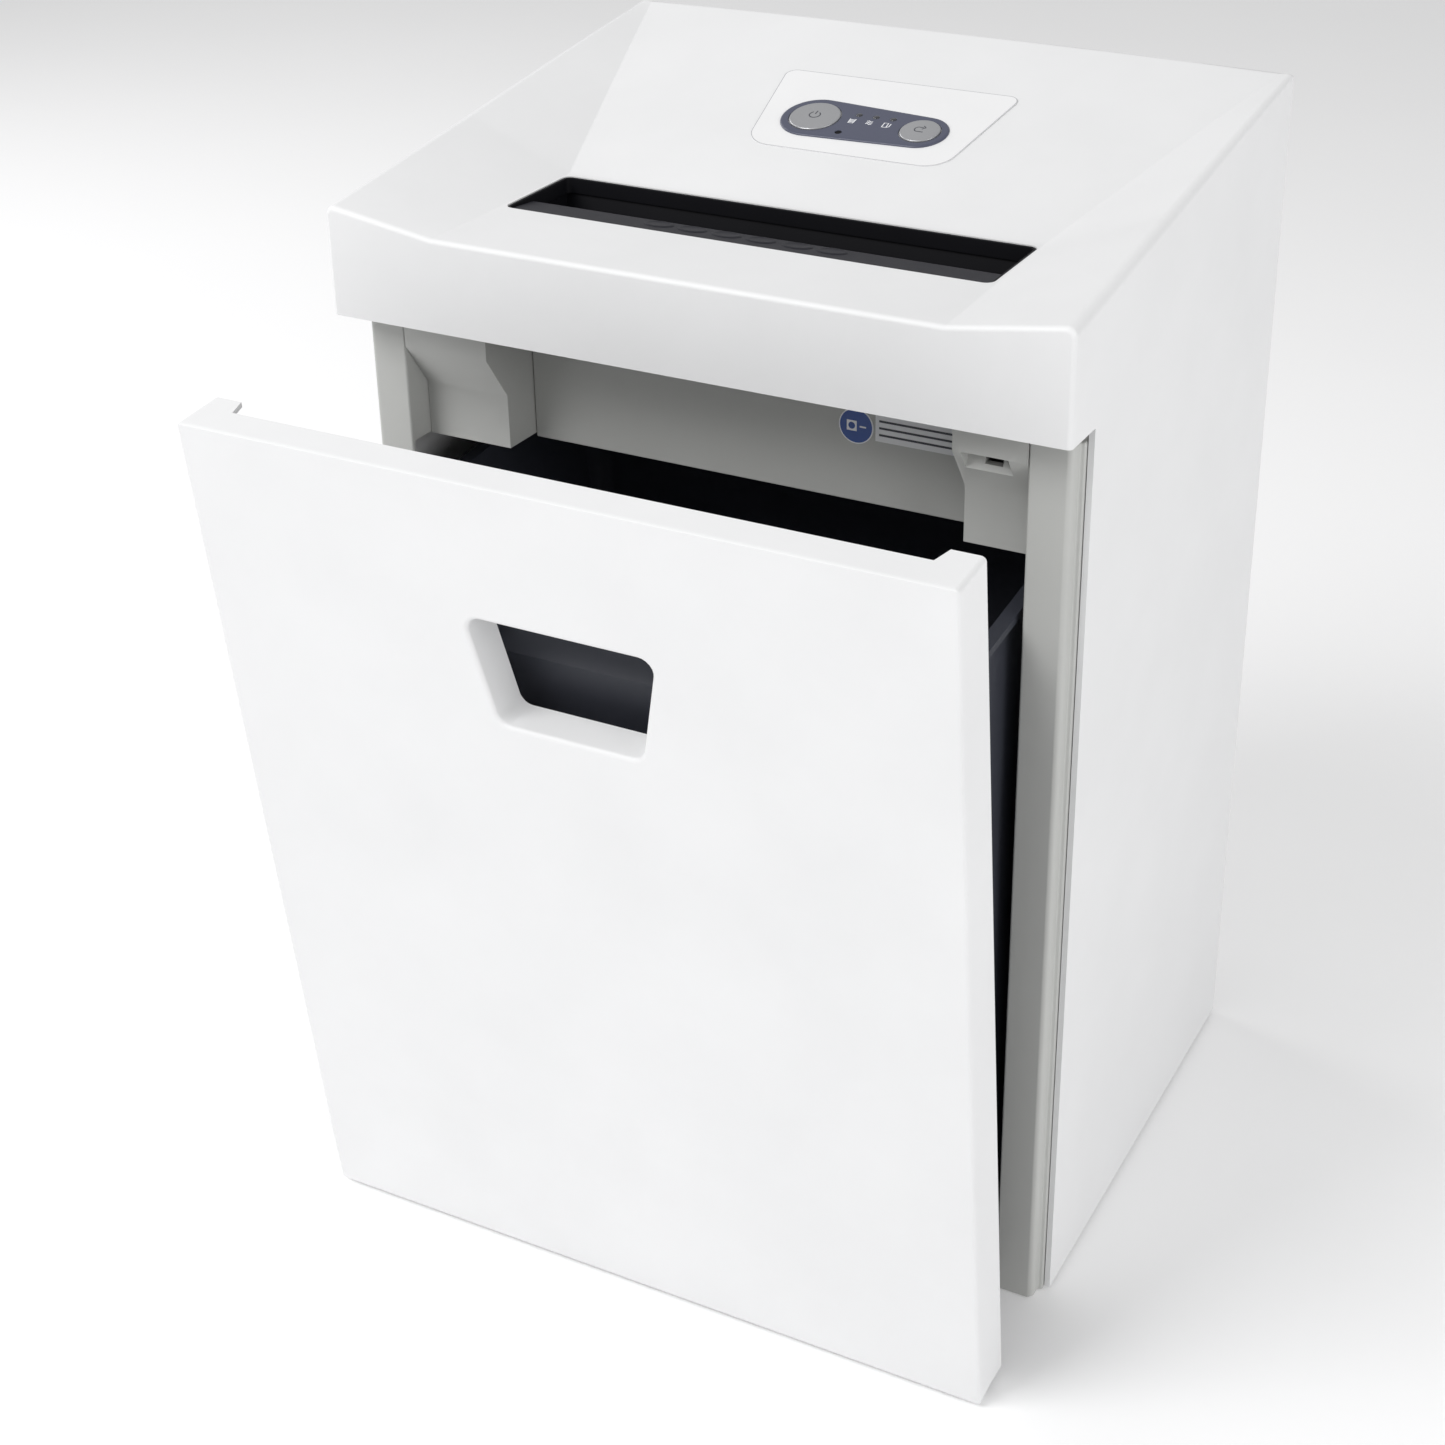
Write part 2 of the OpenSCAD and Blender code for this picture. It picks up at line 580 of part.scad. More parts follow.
// Handle opening: wider at the top, rounded corners.
module grip_outline(grow) {
    r = 7;
    top = 42;
    low = 33;
    z0 = grip_z[0] + r;
    z1 = grip_z[1] - r;
    for (s = [-1, 1]) {
        translate([s * top, z1]) circle(r + grow);
        translate([s * low, z0]) circle(r + grow);
    }
    reach = r + grow;
    lean = atan((top - low) / (z1 - z0));
    side = reach * [cos(lean), -sin(lean)];
    polygon([[-top, z1 + reach], [top, z1 + reach], [top, z1] + side, [low, z0] + side, [low, z0 - reach],
        [-low, z0 - reach], [-low - side[0], z0 + side[1]], [-top - side[0], z1 + side[1]]]);
}

// Extrudes a shape drawn in X and Z along +Y from y0.
module along_y(y0, length) {
    translate([0, y0 + length, 0]) rotate([90, 0, 0]) linear_extrude(length) children();
}

module door_panel() color(casing_color) place() opened() difference() {
    union() {
        translate([-half_w, 0, door_bottom]) cube([body_w, door_t, door_top - door_bottom]);
        both_sides() {
            translate([half_w - door_t, 0, door_bottom]) cube([door_t, door_flange, door_top - door_bottom]);
            translate([half_w - 19, 0, door_top - door_t]) cube([19, door_flange, door_t]);
        }
        translate([-half_w, 0, door_top - door_t]) cube([body_w, 18, door_t]);
        translate([-half_w, 0, door_bottom]) cube([body_w, 12, door_t]);
        along_y(0, grip_depth) grip_outline(2.5);
        for (x = [-boss_x, boss_x]) for (z = boss_z) bar_y(1, bin_front - 0.1, [x, z], 7);
    }
    along_y(-1, 30) grip_outline(0);
    for (x = [-boss_x, boss_x]) for (z = boss_z) bar_y(14, bin_front + 1, [x, z], 1.9);
}

module door_screws() color(steel_color) place() opened() for (x = [-boss_x, boss_x]) for (z = boss_z) {
    bar_y(16, bin_front + bin_t, [x, z], 1.9);
    bar_y(bin_front + bin_t, bin_front + bin_t + 2.4, [x, z], 4);
}

// Open bin with an outward rim, a slanted finger recess at the front and ears for the glide pins.
module waste_bin() color(dark_color) place() opened() difference() {
    mid = (bin_front + bin_back) / 2;
    depth = bin_back - bin_front;
    union() {
        translate([0, mid, bin_floor]) linear_extrude(bin_top - bin_floor) rounded([2 * bin_half_w, depth], 14);
        translate([0, mid, bin_top - 4]) linear_extrude(4) rounded([2 * bin_half_w + 10, depth + 7], 17);
        both_sides() for (x = [glide_x - 13.2, glide_x + 10.2]) along_x(x, 3) {
            translate(tip_pivot) circle(4.5);
            translate([tip_pivot[0] - 4.5, tip_pivot[1]]) square([9, bin_floor - tip_pivot[1] + 1]);
        }
    }
    difference() {
        translate([0, mid, bin_floor + 3]) linear_extrude(bin_top)
            rounded([2 * (bin_half_w - bin_t), depth - 2 * bin_t], 11.5);
        along_x(-64, 128) polygon([[bin_front, 386], [bin_front + 2.5, 386], [52.5, bin_top - 1], [52.5, 500],
            [bin_front, 500]]);
    }
    along_x(-61.5, 123) polygon([[bin_front - 5, 390], [bin_front, 390], [bin_front + 14, bin_top],
        [bin_front + 14, 500], [bin_front - 5, 500]]);
    both_sides() bar_x(glide_x - 14, glide_x + 14, tip_pivot, 2.5);
    for (x = [-boss_x, boss_x]) for (z = boss_z) bar_y(bin_front - 1, bin_front + 5, [x, z], 2.1);
}

module glide_pins() color(steel_color) place() opened() both_sides()
    bar_x(glide_x - 13.2, glide_x + 13.2, tip_pivot, 2.5);

// Skids under the bin that stay level while it tips.
module bin_glides() color([0.85, 0.85, 0.83]) place() pulled() both_sides() along_x(glide_x - 9.8, 19.6)
    difference() {
        union() {
            translate(tip_pivot) circle(5);
            translate([tip_pivot[0], 3.5]) square([186, 8]);
        }
        translate(tip_pivot) circle(2.5 + run_fit);
    }

casing_shell();
rear_cover();
base_tray();
floor_pads();
front_frame();
left_hanger();
right_hanger();
chip_guard();
guard_sticker();
throat_guide();
control_label();
control_bezel();
power_button();
reverse_button();
led_lenses();
light_sensor();
control_board();
button_switches();
left_plate();
right_plate();
tie_rods();
head_crossbar();
shaft_bushes();
front_comb();
rear_comb();
front_cutter();
rear_cutter();
front_timing_gear();
rear_timing_gear();
drive_gear();
cluster_gear();
cluster_stud();
motor_body();
motor_end_caps();
motor_rotor();
motor_shaft();
motor_pinion();
drive_board();
motor_capacitor();
power_inlet();
door_switch();
paper_sensor();
front_clip();
rear_clip();
rear_screws();
hanger_screws();
plate_screws();
motor_screws();
door_panel();
waste_bin();
door_screws();
switch_tab();
glide_pins();
bin_glides();
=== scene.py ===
"""Deskside paper shredder: shells, finishes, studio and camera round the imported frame.

Shapes are drawn in millimetres in the machine's own axes: X to the viewer's right, Y = 0 at the
front of the hood and growing towards the back, Z = 0 on the floor. The bin unit is drawn shut.
PLACE and OPENED turn those drawings into the row frame in metres.
"""
import json
import math

import bmesh
import bpy
from mathutils import Matrix, Vector

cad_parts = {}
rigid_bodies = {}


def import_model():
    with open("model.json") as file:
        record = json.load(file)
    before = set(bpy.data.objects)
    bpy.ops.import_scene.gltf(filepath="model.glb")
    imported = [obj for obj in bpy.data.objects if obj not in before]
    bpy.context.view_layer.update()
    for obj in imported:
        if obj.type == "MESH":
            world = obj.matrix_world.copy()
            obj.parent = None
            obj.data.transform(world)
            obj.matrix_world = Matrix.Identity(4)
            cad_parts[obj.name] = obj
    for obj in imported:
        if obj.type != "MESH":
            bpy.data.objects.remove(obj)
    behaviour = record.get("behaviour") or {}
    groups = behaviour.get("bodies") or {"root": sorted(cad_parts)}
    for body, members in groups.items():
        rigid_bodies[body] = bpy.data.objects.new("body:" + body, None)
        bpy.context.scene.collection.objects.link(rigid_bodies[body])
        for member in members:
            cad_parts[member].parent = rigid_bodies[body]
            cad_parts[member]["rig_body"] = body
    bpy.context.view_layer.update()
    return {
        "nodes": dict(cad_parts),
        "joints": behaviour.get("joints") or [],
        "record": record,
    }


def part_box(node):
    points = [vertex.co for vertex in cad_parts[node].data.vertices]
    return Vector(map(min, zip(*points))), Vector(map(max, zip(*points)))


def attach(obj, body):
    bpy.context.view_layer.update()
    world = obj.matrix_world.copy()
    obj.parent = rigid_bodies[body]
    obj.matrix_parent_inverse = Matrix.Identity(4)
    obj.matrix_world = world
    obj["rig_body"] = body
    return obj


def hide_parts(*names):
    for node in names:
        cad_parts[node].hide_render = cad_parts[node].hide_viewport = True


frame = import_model()

# ---- places, worked out from the frame ----
MM = 0.001
casing_low, casing_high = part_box("casing_shell")
joint = {j["name"]: j for j in frame["joints"]}
PLACE = Matrix.Translation((0, casing_low.y, 0)) @ Matrix.Scale(MM, 4)
pull_out = -joint["bin_pull"]["range_m"][0]
tip_angle = math.radians(-joint["bin_tip"]["range_deg"][0])
tip_pivot = Vector(joint["bin_tip"]["pos_m"])
OPENED = (
    Matrix.Translation(tip_pivot)
    @ Matrix.Rotation(tip_angle, 4, "X")
    @ Matrix.Translation(-tip_pivot)
    @ Matrix.Translation((0, -pull_out, 0))
    @ PLACE
)

# ---- driving sizes, in millimetres ----
BODY_W = (casing_high.x - casing_low.x) / MM
BODY_D = (casing_high.y - casing_low.y) / MM
BODY_H = casing_high.z / MM
HALF_W = BODY_W / 2
FASCIA_TOP = 560
FASCIA_BOTTOM = 503
SHELL = 3
SIDE_FOOT = casing_low.z / MM
SIDE_SETBACK = 30
TOP_BACK = BODY_D - 6
RIM_X = HALF_W - 2
LEDGE_Z = 551
CREASE_Y = 123
CREASE_Z = LEDGE_Z + 2
PANEL_TOP_Z = BODY_H - 1
FLOOR_X = (137, 134.5, HALF_W - 8)
SLOT = (134, 60, 120)
DOOR_BOTTOM = 12
DOOR_TOP = FASCIA_BOTTOM - 1
PANEL_SLOPE = math.atan((PANEL_TOP_Z - CREASE_Z) / (TOP_BACK - CREASE_Y))
ON_PANEL = PLACE @ Matrix.Translation((0, CREASE_Y, CREASE_Z)) @ Matrix.Rotation(PANEL_SLOPE, 4, "X")


# ---- materials ----
def finish(name):
    """A new material with its node tree, and the shader to feed."""
    mat = bpy.data.materials.new(name)
    mat.use_nodes = True
    return mat, mat.node_tree, mat.node_tree.nodes["Principled BSDF"]


def coords(tree, stretch=(1, 1, 1)):
    """Object coordinates in metres, stretched."""
    source = tree.nodes.new("ShaderNodeTexCoord")
    mapping = tree.nodes.new("ShaderNodeMapping")
    mapping.inputs["Scale"].default_value = stretch
    tree.links.new(source.outputs["Object"], mapping.inputs["Vector"])
    return mapping.outputs["Vector"]


def noise(tree, vector, scale, detail=3, roughness=0.5):
    node = tree.nodes.new("ShaderNodeTexNoise")
    node.inputs["Scale"].default_value = scale
    node.inputs["Detail"].default_value = detail
    node.inputs["Roughness"].default_value = roughness
    tree.links.new(vector, node.inputs["Vector"])
    return node.outputs["Fac"]


def ramp(tree, value, stops):
    """A colour ramp through (position, colour) stops."""
    node = tree.nodes.new("ShaderNodeValToRGB")
    elements = node.color_ramp.elements
    while len(elements) < len(stops):
        elements.new(0.5)
    for stop, (position, colour) in zip(elements, stops):
        stop.position = position
        stop.color = (*colour, 1)
    tree.links.new(value, node.inputs["Fac"])
    return node.outputs["Color"]


def between(tree, value, low, high):
    """A value from 0 to 1 spread over low to high."""
    node = tree.nodes.new("ShaderNodeMapRange")
    node.inputs["To Min"].default_value = low
    node.inputs["To Max"].default_value = high
    tree.links.new(value, node.inputs["Value"])
    return node.outputs["Result"]


def relief(tree, shader, height, strength, depth):
    node = tree.nodes.new("ShaderNodeBump")
    node.inputs["Strength"].default_value = strength
    node.inputs["Distance"].default_value = depth
    tree.links.new(height, node.inputs["Height"])
    tree.links.new(node.outputs["Normal"], shader.inputs["Normal"])


def tinted(colour, share):
    return tuple(c * share for c in colour)


def moulded(name, colour, rough, grain=1400, depth=0.00006, strength=0.25, mottle=0.965, coat=0.0, gloss=0.5,
            metal=0.0):
    """Moulded plastic: a fine eroded grain, faint mottling and uneven gloss."""
    mat, tree, shader = finish(name)
    place = coords(tree)
    cloud = noise(tree, place, 14, 4)
    shade = ramp(tree, cloud, [(0.3, tinted(colour, mottle)), (0.7, colour)])
    tree.links.new(shade, shader.inputs["Base Color"])
    tree.links.new(between(tree, noise(tree, place, 55, 3), *rough), shader.inputs["Roughness"])
    relief(tree, shader, noise(tree, place, grain, 2), strength, depth)
    shader.inputs["Specular IOR Level"].default_value = gloss
    shader.inputs["Coat Weight"].default_value = coat
    shader.inputs["Coat Roughness"].default_value = 0.25
    shader.inputs["Metallic"].default_value = metal
    return mat


def worked_metal(name, colour, rough, stretch):
    """Metal with the fine streaks that rolling, grinding or turning leaves."""
    mat, tree, shader = finish(name)
    streak = noise(tree, coords(tree, stretch), 160, 4, 0.6)
    cloud = noise(tree, coords(tree), 30, 3)
    shade = ramp(tree, cloud, [(0.3, tinted(colour, 0.8)), (0.7, colour)])
    tree.links.new(shade, shader.inputs["Base Color"])
    tree.links.new(between(tree, streak, *rough), shader.inputs["Roughness"])
    relief(tree, shader, streak, 0.3, 0.00004)
    shader.inputs["Metallic"].default_value = 1
    return mat


def circuit_board(name):
    """Solder mask with a faint net of tracks and tinned pads."""
    mat, tree, shader = finish(name)
    cells = tree.nodes.new("ShaderNodeTexBrick")
    cells.inputs["Scale"].default_value = 90
    cells.inputs["Mortar Size"].default_value = 0.06
    cells.inputs["Color1"].default_value = (0.02, 0.11, 0.05, 1)
    cells.inputs["Color2"].default_value = (0.025, 0.13, 0.06, 1)
    cells.inputs["Mortar"].default_value = (0.05, 0.2, 0.09, 1)
    tree.links.new(coords(tree), cells.inputs["Vector"])
    tree.links.new(cells.outputs["Color"], shader.inputs["Base Color"])
    relief(tree, shader, cells.outputs["Fac"], 0.3, 0.00005)
    shader.inputs["Roughness"].default_value = 0.35
    return mat


WHITE = (0.79, 0.792, 0.797)
# name, colour, lowest and highest roughness, and what differs from plain moulded plastic
MOULDINGS = (
    ("casing_white", WHITE, (0.42, 0.56), {}),
    ("frame_grey", (0.5, 0.505, 0.488), (0.42, 0.58), {"grain": 1100}),
    ("pad_rubber", (0.03, 0.03, 0.032), (0.7, 0.85), {"grain": 700, "depth": 0.0002}),
    ("sticker_blue", (0.025, 0.08, 0.32), (0.28, 0.36), {"grain": 900, "strength": 0.1}),
    ("throat_dark", (0.018, 0.018, 0.024), (0.5, 0.62), {"grain": 1200, "mottle": 0.9, "gloss": 0.25}),
    ("label_foil", (0.84, 0.84, 0.845), (0.3, 0.4), {"grain": 2400, "strength": 0.12, "coat": 0.1}),
    ("bezel_slate", (0.075, 0.082, 0.125), (0.3, 0.42), {"grain": 1500, "strength": 0.2, "mottle": 0.9}),
    ("lens_clear", (0.03, 0.032, 0.04), (0.08, 0.16), {"grain": 900, "strength": 0.05, "coat": 0.6}),
    ("part_black", (0.006, 0.006, 0.008), (0.5, 0.62), {"mottle": 0.8, "gloss": 0.15}),
    ("gear_nylon", (0.7, 0.67, 0.56), (0.4, 0.5), {"grain": 900}),
    ("motor_paint", (0.05, 0.052, 0.056), (0.3, 0.4), {"coat": 0.3}),
    ("can_pale", (0.62, 0.62, 0.58), (0.3, 0.42), {"coat": 0.3}),
    ("bin_dark", (0.036, 0.039, 0.052), (0.45, 0.6), {"grain": 1000, "mottle": 0.85}),
    ("glide_nylon", (0.6, 0.6, 0.56), (0.4, 0.55), {}),
    ("button_silver", (0.44, 0.445, 0.46), (0.26, 0.36),
     {"grain": 2600, "strength": 0.3, "mottle": 0.85, "metal": 0.55}),
    ("print_ink", (0.06, 0.062, 0.075), (0.35, 0.45), {"strength": 0.05}),
    ("icon_ink", (0.85, 0.86, 0.88), (0.35, 0.45), {"strength": 0.05}),
    ("border_ink", (0.42, 0.425, 0.44), (0.35, 0.45), {"strength": 0.05}),
)
# name, colour, lowest and highest roughness, and how fast the streaks change along X, Y and Z
METALS = (
    ("plate_steel", (0.56, 0.57, 0.58), (0.28, 0.45), (1, 14, 14)),
    ("comb_alloy", (0.62, 0.63, 0.64), (0.35, 0.5), (1, 1, 1)),
    ("bush_brass", (0.62, 0.42, 0.18), (0.3, 0.45), (1, 1, 1)),
    ("cutter_steel", (0.4, 0.41, 0.42), (0.22, 0.4), (14, 1, 1)),
    ("gear_steel", (0.35, 0.35, 0.36), (0.3, 0.45), (1, 6, 6)),
    ("screw_zinc", (0.5, 0.51, 0.52), (0.25, 0.4), (1, 1, 1)),
)
FINISHES = {name: moulded(name, colour, rough, **more) for name, colour, rough, more in MOULDINGS}
FINISHES |= {name: worked_metal(name, colour, rough, stretch) for name, colour, rough, stretch in METALS}
FINISHES["board_green"] = circuit_board("board_green")
slot_of = {s["node"]: s["material_slot"] for s in frame["record"]["subparts"]}
for node_name, node in frame["nodes"].items():
    node.data.materials.clear()
    node.data.materials.append(FINISHES[slot_of[node_name]])


# ---- making pieces ----
def piece_from(name, bm, place, materials):
    """A new object from a drawing in millimetres, moved to its place in the row frame."""
    bmesh.ops.remove_doubles(bm, verts=bm.verts, dist=0.001)
    bmesh.ops.transform(bm, matrix=place, verts=bm.verts)
    mesh = bpy.data.meshes.new(name)
    bm.to_mesh(mesh)
    bm.free()
    for material in materials:
        mesh.materials.append(material)
    piece = bpy.data.objects.new(name, mesh)
    bpy.context.scene.collection.objects.link(piece)
    return piece


def outward(bm):
    bmesh.ops.recalc_face_normals(bm, faces=bm.faces)


def softened_edges(piece, width, segments=3, angle=35):
    """Rounds every edge that turns by more than the angle. Width is in millimetres."""
    bevel = piece.modifiers.new("soft_edges", "BEVEL")
    bevel.width = width * MM
    bevel.segments = segments
    bevel.limit_method = "ANGLE"
    bevel.angle_limit = math.radians(angle)
    bevel.miter_outer = "MITER_ARC"
    return piece


def walled(piece, thickness):
    """Gives an open sheet its wall, on the side away from its faces."""
    wall = piece.modifiers.new("wall", "SOLIDIFY")
    wall.thickness = thickness * MM
    wall.offset = -1
    wall.use_even_offset = True
    return piece


def baked(piece):
    """Turns a piece and its modifiers into a plain mesh with flat faces flat and round ones smooth."""
    bpy.context.view_layer.update()
    graph = bpy.context.evaluated_depsgraph_get()
    mesh = bpy.data.meshes.new_from_object(piece.evaluated_get(graph), depsgraph=graph)
    piece.modifiers.clear()
    piece.data = mesh
    mesh.shade_smooth()
    mesh.set_sharp_from_angle(angle=math.radians(50))
    weigh = piece.modifiers.new("flat_faces", "WEIGHTED_NORMAL")
    weigh.keep_sharp = True
    bpy.context.view_layer.update()
    graph = bpy.context.evaluated_depsgraph_get()
    mesh = bpy.data.meshes.new_from_object(piece.evaluated_get(graph), depsgraph=graph)
    piece.modifiers.clear()
    piece.data = mesh
    return piece


def kept(piece, body, slot, *nodes):
    """Rides a finished piece on its body, in place of the CAD nodes named."""
    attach(piece, body)
    if nodes:
        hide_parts(*nodes)
    return piece


def cad_copy(node_name, piece_name, width):
    """A CAD node's shape with rounded edges. Many-sided faces are cut up first, or rounding tears them."""
    bm = bmesh.new()
    bm.from_mesh(frame["nodes"][node_name].data)
    bmesh.ops.remove_doubles(bm, verts=bm.verts, dist=0.000002)
    bmesh.ops.dissolve_limit(bm, angle_limit=math.radians(0.5), verts=bm.verts, edges=bm.edges)
    bmesh.ops.transform(bm, matrix=Matrix.Scale(1 / MM, 4), verts=bm.verts)
    bmesh.ops.triangulate(bm, faces=[f for f in bm.faces if len(f.verts) > 4])
    outward(bm)
    piece = piece_from(piece_name, bm, Matrix.Scale(MM, 4), [FINISHES[slot_of[node_name]]])
    softened_edges(piece, width)
    return baked(piece)


def arc(centre, radius, start, end, steps):
    """Points on an arc, angles in degrees."""
    turn = [math.radians(start + (end - start) * i / steps) for i in range(steps + 1)]
    return [(centre[0] + radius * math.cos(a), centre[1] + radius * math.sin(a)) for a in turn]


def circle(centre, radius, steps=48):
    """Points round a whole circle."""
    return arc(centre, radius, 0, 360 * (steps - 1) / steps, steps - 1)


def fillet(before, corner, after, radius, steps):
    """Points of the arc that rounds a corner."""
    a = (Vector(before) - Vector(corner)).normalized()
    b = (Vector(after) - Vector(corner)).normalized()
    half = a.angle(b) / 2
    centre = Vector(corner) + (a + b).normalized() * (radius / math.sin(half))
    first = Vector(corner) + a * (radius / math.tan(half)) - centre
    sweep = math.pi - 2 * half
    side = 1 if a.x * b.y - a.y * b.x < 0 else -1
    points = []
    for i in range(steps + 1):
        t = side * sweep * i / steps
        points.append((centre.x + first.x * math.cos(t) - first.y * math.sin(t),
                       centre.y + first.x * math.sin(t) + first.y * math.cos(t)))
    return points


def crossing(p, d, q, e):
    """Where the line through p along d meets the line through q along e."""
    t = ((q[0] - p[0]) * e[1] - (q[1] - p[1]) * e[0]) / (d[0] * e[1] - d[1] * e[0])
    return (p[0] + d[0] * t, p[1] + d[1] * t)


# ---- hood and side walls ----
FRONT_ROUND = 2.6
BACK_ROUND = 6
RIM_ROUND = 5
RIM_ROUND_LOST = 2.6
LEAST_ROUND = 0.3
CREASE_ROUND = 3.5
CROWN = 2.6
FASCIA_BAND_Z = FASCIA_BOTTOM + 28
BACK_BAND_Z = 560
NO_CAP = 999
CAP_SLACK = 0.02
LEDGE_SECTIONS = (14, SIDE_SETBACK, 58, 90)
CREASE_SECTIONS = (-6, -3, -1.5, 0, 1.5, 3, 5)
PANEL_SECTIONS = (150, 180, 215, 250, 280, 298)
FASCIA_LIP_INSET = 1.2
FASCIA_LIP_DEPTH = 12
FASCIA_LIP_Z = (FASCIA_BOTTOM + 0.1, FASCIA_BOTTOM + 2.6)
SLOT_ROUND = 5
CUT_REACH = 20


def eased(y, crease, before, after, reach=3):
    """Rise of a line that changes slope at the crease, with the corner eased."""
    if y <= crease - reach:
        return before * (y - crease)
    if y >= crease + reach:
        return after * (y - crease)
    return before * (y - crease) + (after - before) * (y - crease + reach) ** 2 / (4 * reach)


def hood_section(y, inset, cap):
    """Right half of the hood's outline at depth y, from the side wall's top to the middle."""
    ledge_slope = (CREASE_Z - LEDGE_Z) / CREASE_Y
    floor_z = CREASE_Z + eased(y, CREASE_Y, ledge_slope, math.tan(PANEL_SLOPE))
    narrowing = (FLOOR_X[1] - FLOOR_X[0]) / CREASE_Y
    spreading = (FLOOR_X[2] - FLOOR_X[1]) / (TOP_BACK - CREASE_Y)
    floor_x = FLOOR_X[1] + eased(y, CREASE_Y, narrowing, spreading)
    rim_z = FASCIA_TOP + (BODY_H - FASCIA_TOP) * y / TOP_BACK
    wing = Vector((floor_x - RIM_X, floor_z - rim_z)).normalized()
    down = Vector((wing.y, -wing.x)) if wing.x > 0 else Vector((-wing.y, wing.x))
    side_x = HALF_W - inset
    on_wing = (RIM_X + down.x * inset, rim_z + down.y * inset)
    outer = crossing((side_x, 0), (0, 1), on_wing, wing)
    inner = crossing((0, floor_z - inset), (1, 0), on_wing, wing)
    share = y / BODY_D
    outer_r = (RIM_ROUND - RIM_ROUND_LOST * share) - inset
    inner_r = CREASE_ROUND * (1 - share / 2) + inset
    mid_z = FASCIA_BAND_Z + (BACK_BAND_Z - FASCIA_BAND_Z) * share
    half = [(side_x, FASCIA_BOTTOM), (side_x, mid_z)]
    half += fillet((side_x, 0), outer, inner, max(outer_r, LEAST_ROUND), 6)
    half += fillet(outer, inner, (0, inner[1]), inner_r, 5)
    half += [(inner[0] * k, inner[1]) for k in (0.75, 0.5, 0.25, 0)]
    crowned = []
    for x, z in half:
        if z > mid_z:
            z -= CROWN * (max(y, 0) / TOP_BACK) ** 3 * (x / HALF_W) ** 2
            z = min(z, cap + (z - cap) * CAP_SLACK)
        crowned.append((x, z))
    return crowned


def hood_stations():
    """Depth, inset and height cap of each section from front to back."""
    turns = [math.radians(a) for a in range(0, 91, 15)]
    front = [(FRONT_ROUND * (1 - math.cos(a)), FRONT_ROUND * (1 - math.sin(a)), NO_CAP) for a in turns]
    crease = tuple(CREASE_Y + step for step in CREASE_SECTIONS)
    along = [(y, 0, NO_CAP) for y in LEDGE_SECTIONS + crease + PANEL_SECTIONS]
    top_z = BODY_H - BACK_ROUND
    back = [(TOP_BACK + BACK_ROUND * math.sin(a), 0, top_z + BACK_ROUND * math.cos(a)) for a in turns]
    return front + along + back


def hood():
    """Wedge hood with a rounded front, warped wings and a crowned back, in one wall with the sides."""
    bm = bmesh.new()
    rows = []
    for y, inset, cap in hood_stations():
        half = hood_section(y, inset, cap)
        ring = half + [(-x, z) for x, z in half[-2::-1]]
        rows.append([bm.verts.new((x, y, z)) for x, z in ring])
    last = len(rows[0]) - 1
    for near, far in zip(rows, rows[1:]):
        for k in range(last):
            bm.faces.new((near[k], near[k + 1], far[k + 1], far[k]))
    bm.faces.new(rows[0][::-1])
    bm.faces.new(rows[-1][1:-1])
    for k in (0, last):
        walls = [row[k] for row in rows if row[k].co.y >= SIDE_SETBACK]
        feet = [bm.verts.new((v.co.x, v.co.y, SIDE_FOOT)) for v in walls]
        for n in range(len(walls) - 1):
            bm.faces.new((walls[n], walls[n + 1], feet[n + 1], feet[n]))
    outward(bm)
    if sum(f.normal.z * f.calc_area() for f in bm.faces) < 0:
        bmesh.ops.reverse_faces(bm, faces=bm.faces)
    piece = piece_from("hood_and_sides", bm, PLACE, [FINISHES["casing_white"]])
    softened_edges(piece, 1.6, 3, 60)
    walled(piece, SHELL)
    cutter = slot_cutter()
    cut = piece.modifiers.new("paper_slot", "BOOLEAN")
    cut.operation = "DIFFERENCE"
    cut.solver = "EXACT"
    cut.object = cutter
    softened_edges(piece, 0.7, 2, 60)
    baked(piece)
    bpy.data.objects.remove(cutter)
    return kept(piece, "cabinet", "casing_white", "casing_shell")


def rounded_rect(half_x, y0, y1, radius, steps=6):
    """Corner arcs of a rectangle, counter-clockwise."""
    corners = [(half_x - radius, y0 + radius, -90), (half_x - radius, y1 - radius, 0),
               (radius - half_x, y1 - radius, 90), (radius - half_x, y0 + radius, 180)]
    return [p for cx, cy, a in corners for p in arc((cx, cy), radius, a, a + 90, steps)]


def prism(bm, outline, z0, z1):
    """A closed upright prism over an outline."""
    low = [bm.verts.new((x, y, z0)) for x, y in outline]
    high = [bm.verts.new((x, y, z1)) for x, y in outline]
    count = len(outline)
    bm.faces.new(low[::-1])
    bm.faces.new(high)
    for i in range(count):
        bm.faces.new((low[i], low[(i + 1) % count], high[(i + 1) % count], high[i]))


def slot_cutter():
    bm = bmesh.new()
    prism(bm, rounded_rect(*SLOT, SLOT_ROUND), LEDGE_Z - CUT_REACH, LEDGE_Z + CUT_REACH)
    outward(bm)
    return piece_from("slot_cutter", bm, PLACE, [])


def fascia_lip():
    """Strip turned in under the fascia."""
    bm = bmesh.new()
    half = HALF_W - FASCIA_LIP_INSET
    near, far = FASCIA_LIP_INSET, FASCIA_LIP_DEPTH
    prism(bm, [(-half, near), (half, near), (half, far), (-half, far)], *FASCIA_LIP_Z)
    outward(bm)
    piece = softened_edges(piece_from("fascia_lip", bm, PLACE, [FINISHES["casing_white"]]), 0.6)
    return kept(baked(piece), "cabinet", "casing_white")


hood()
fascia_lip()


# ---- door ----
DOOR_WALL = 2.6
DOOR_FLANGE = 28.5
TOP_FLANGE = 18
BOTTOM_RETURN = 12
NOTCH_X = (183, 180)
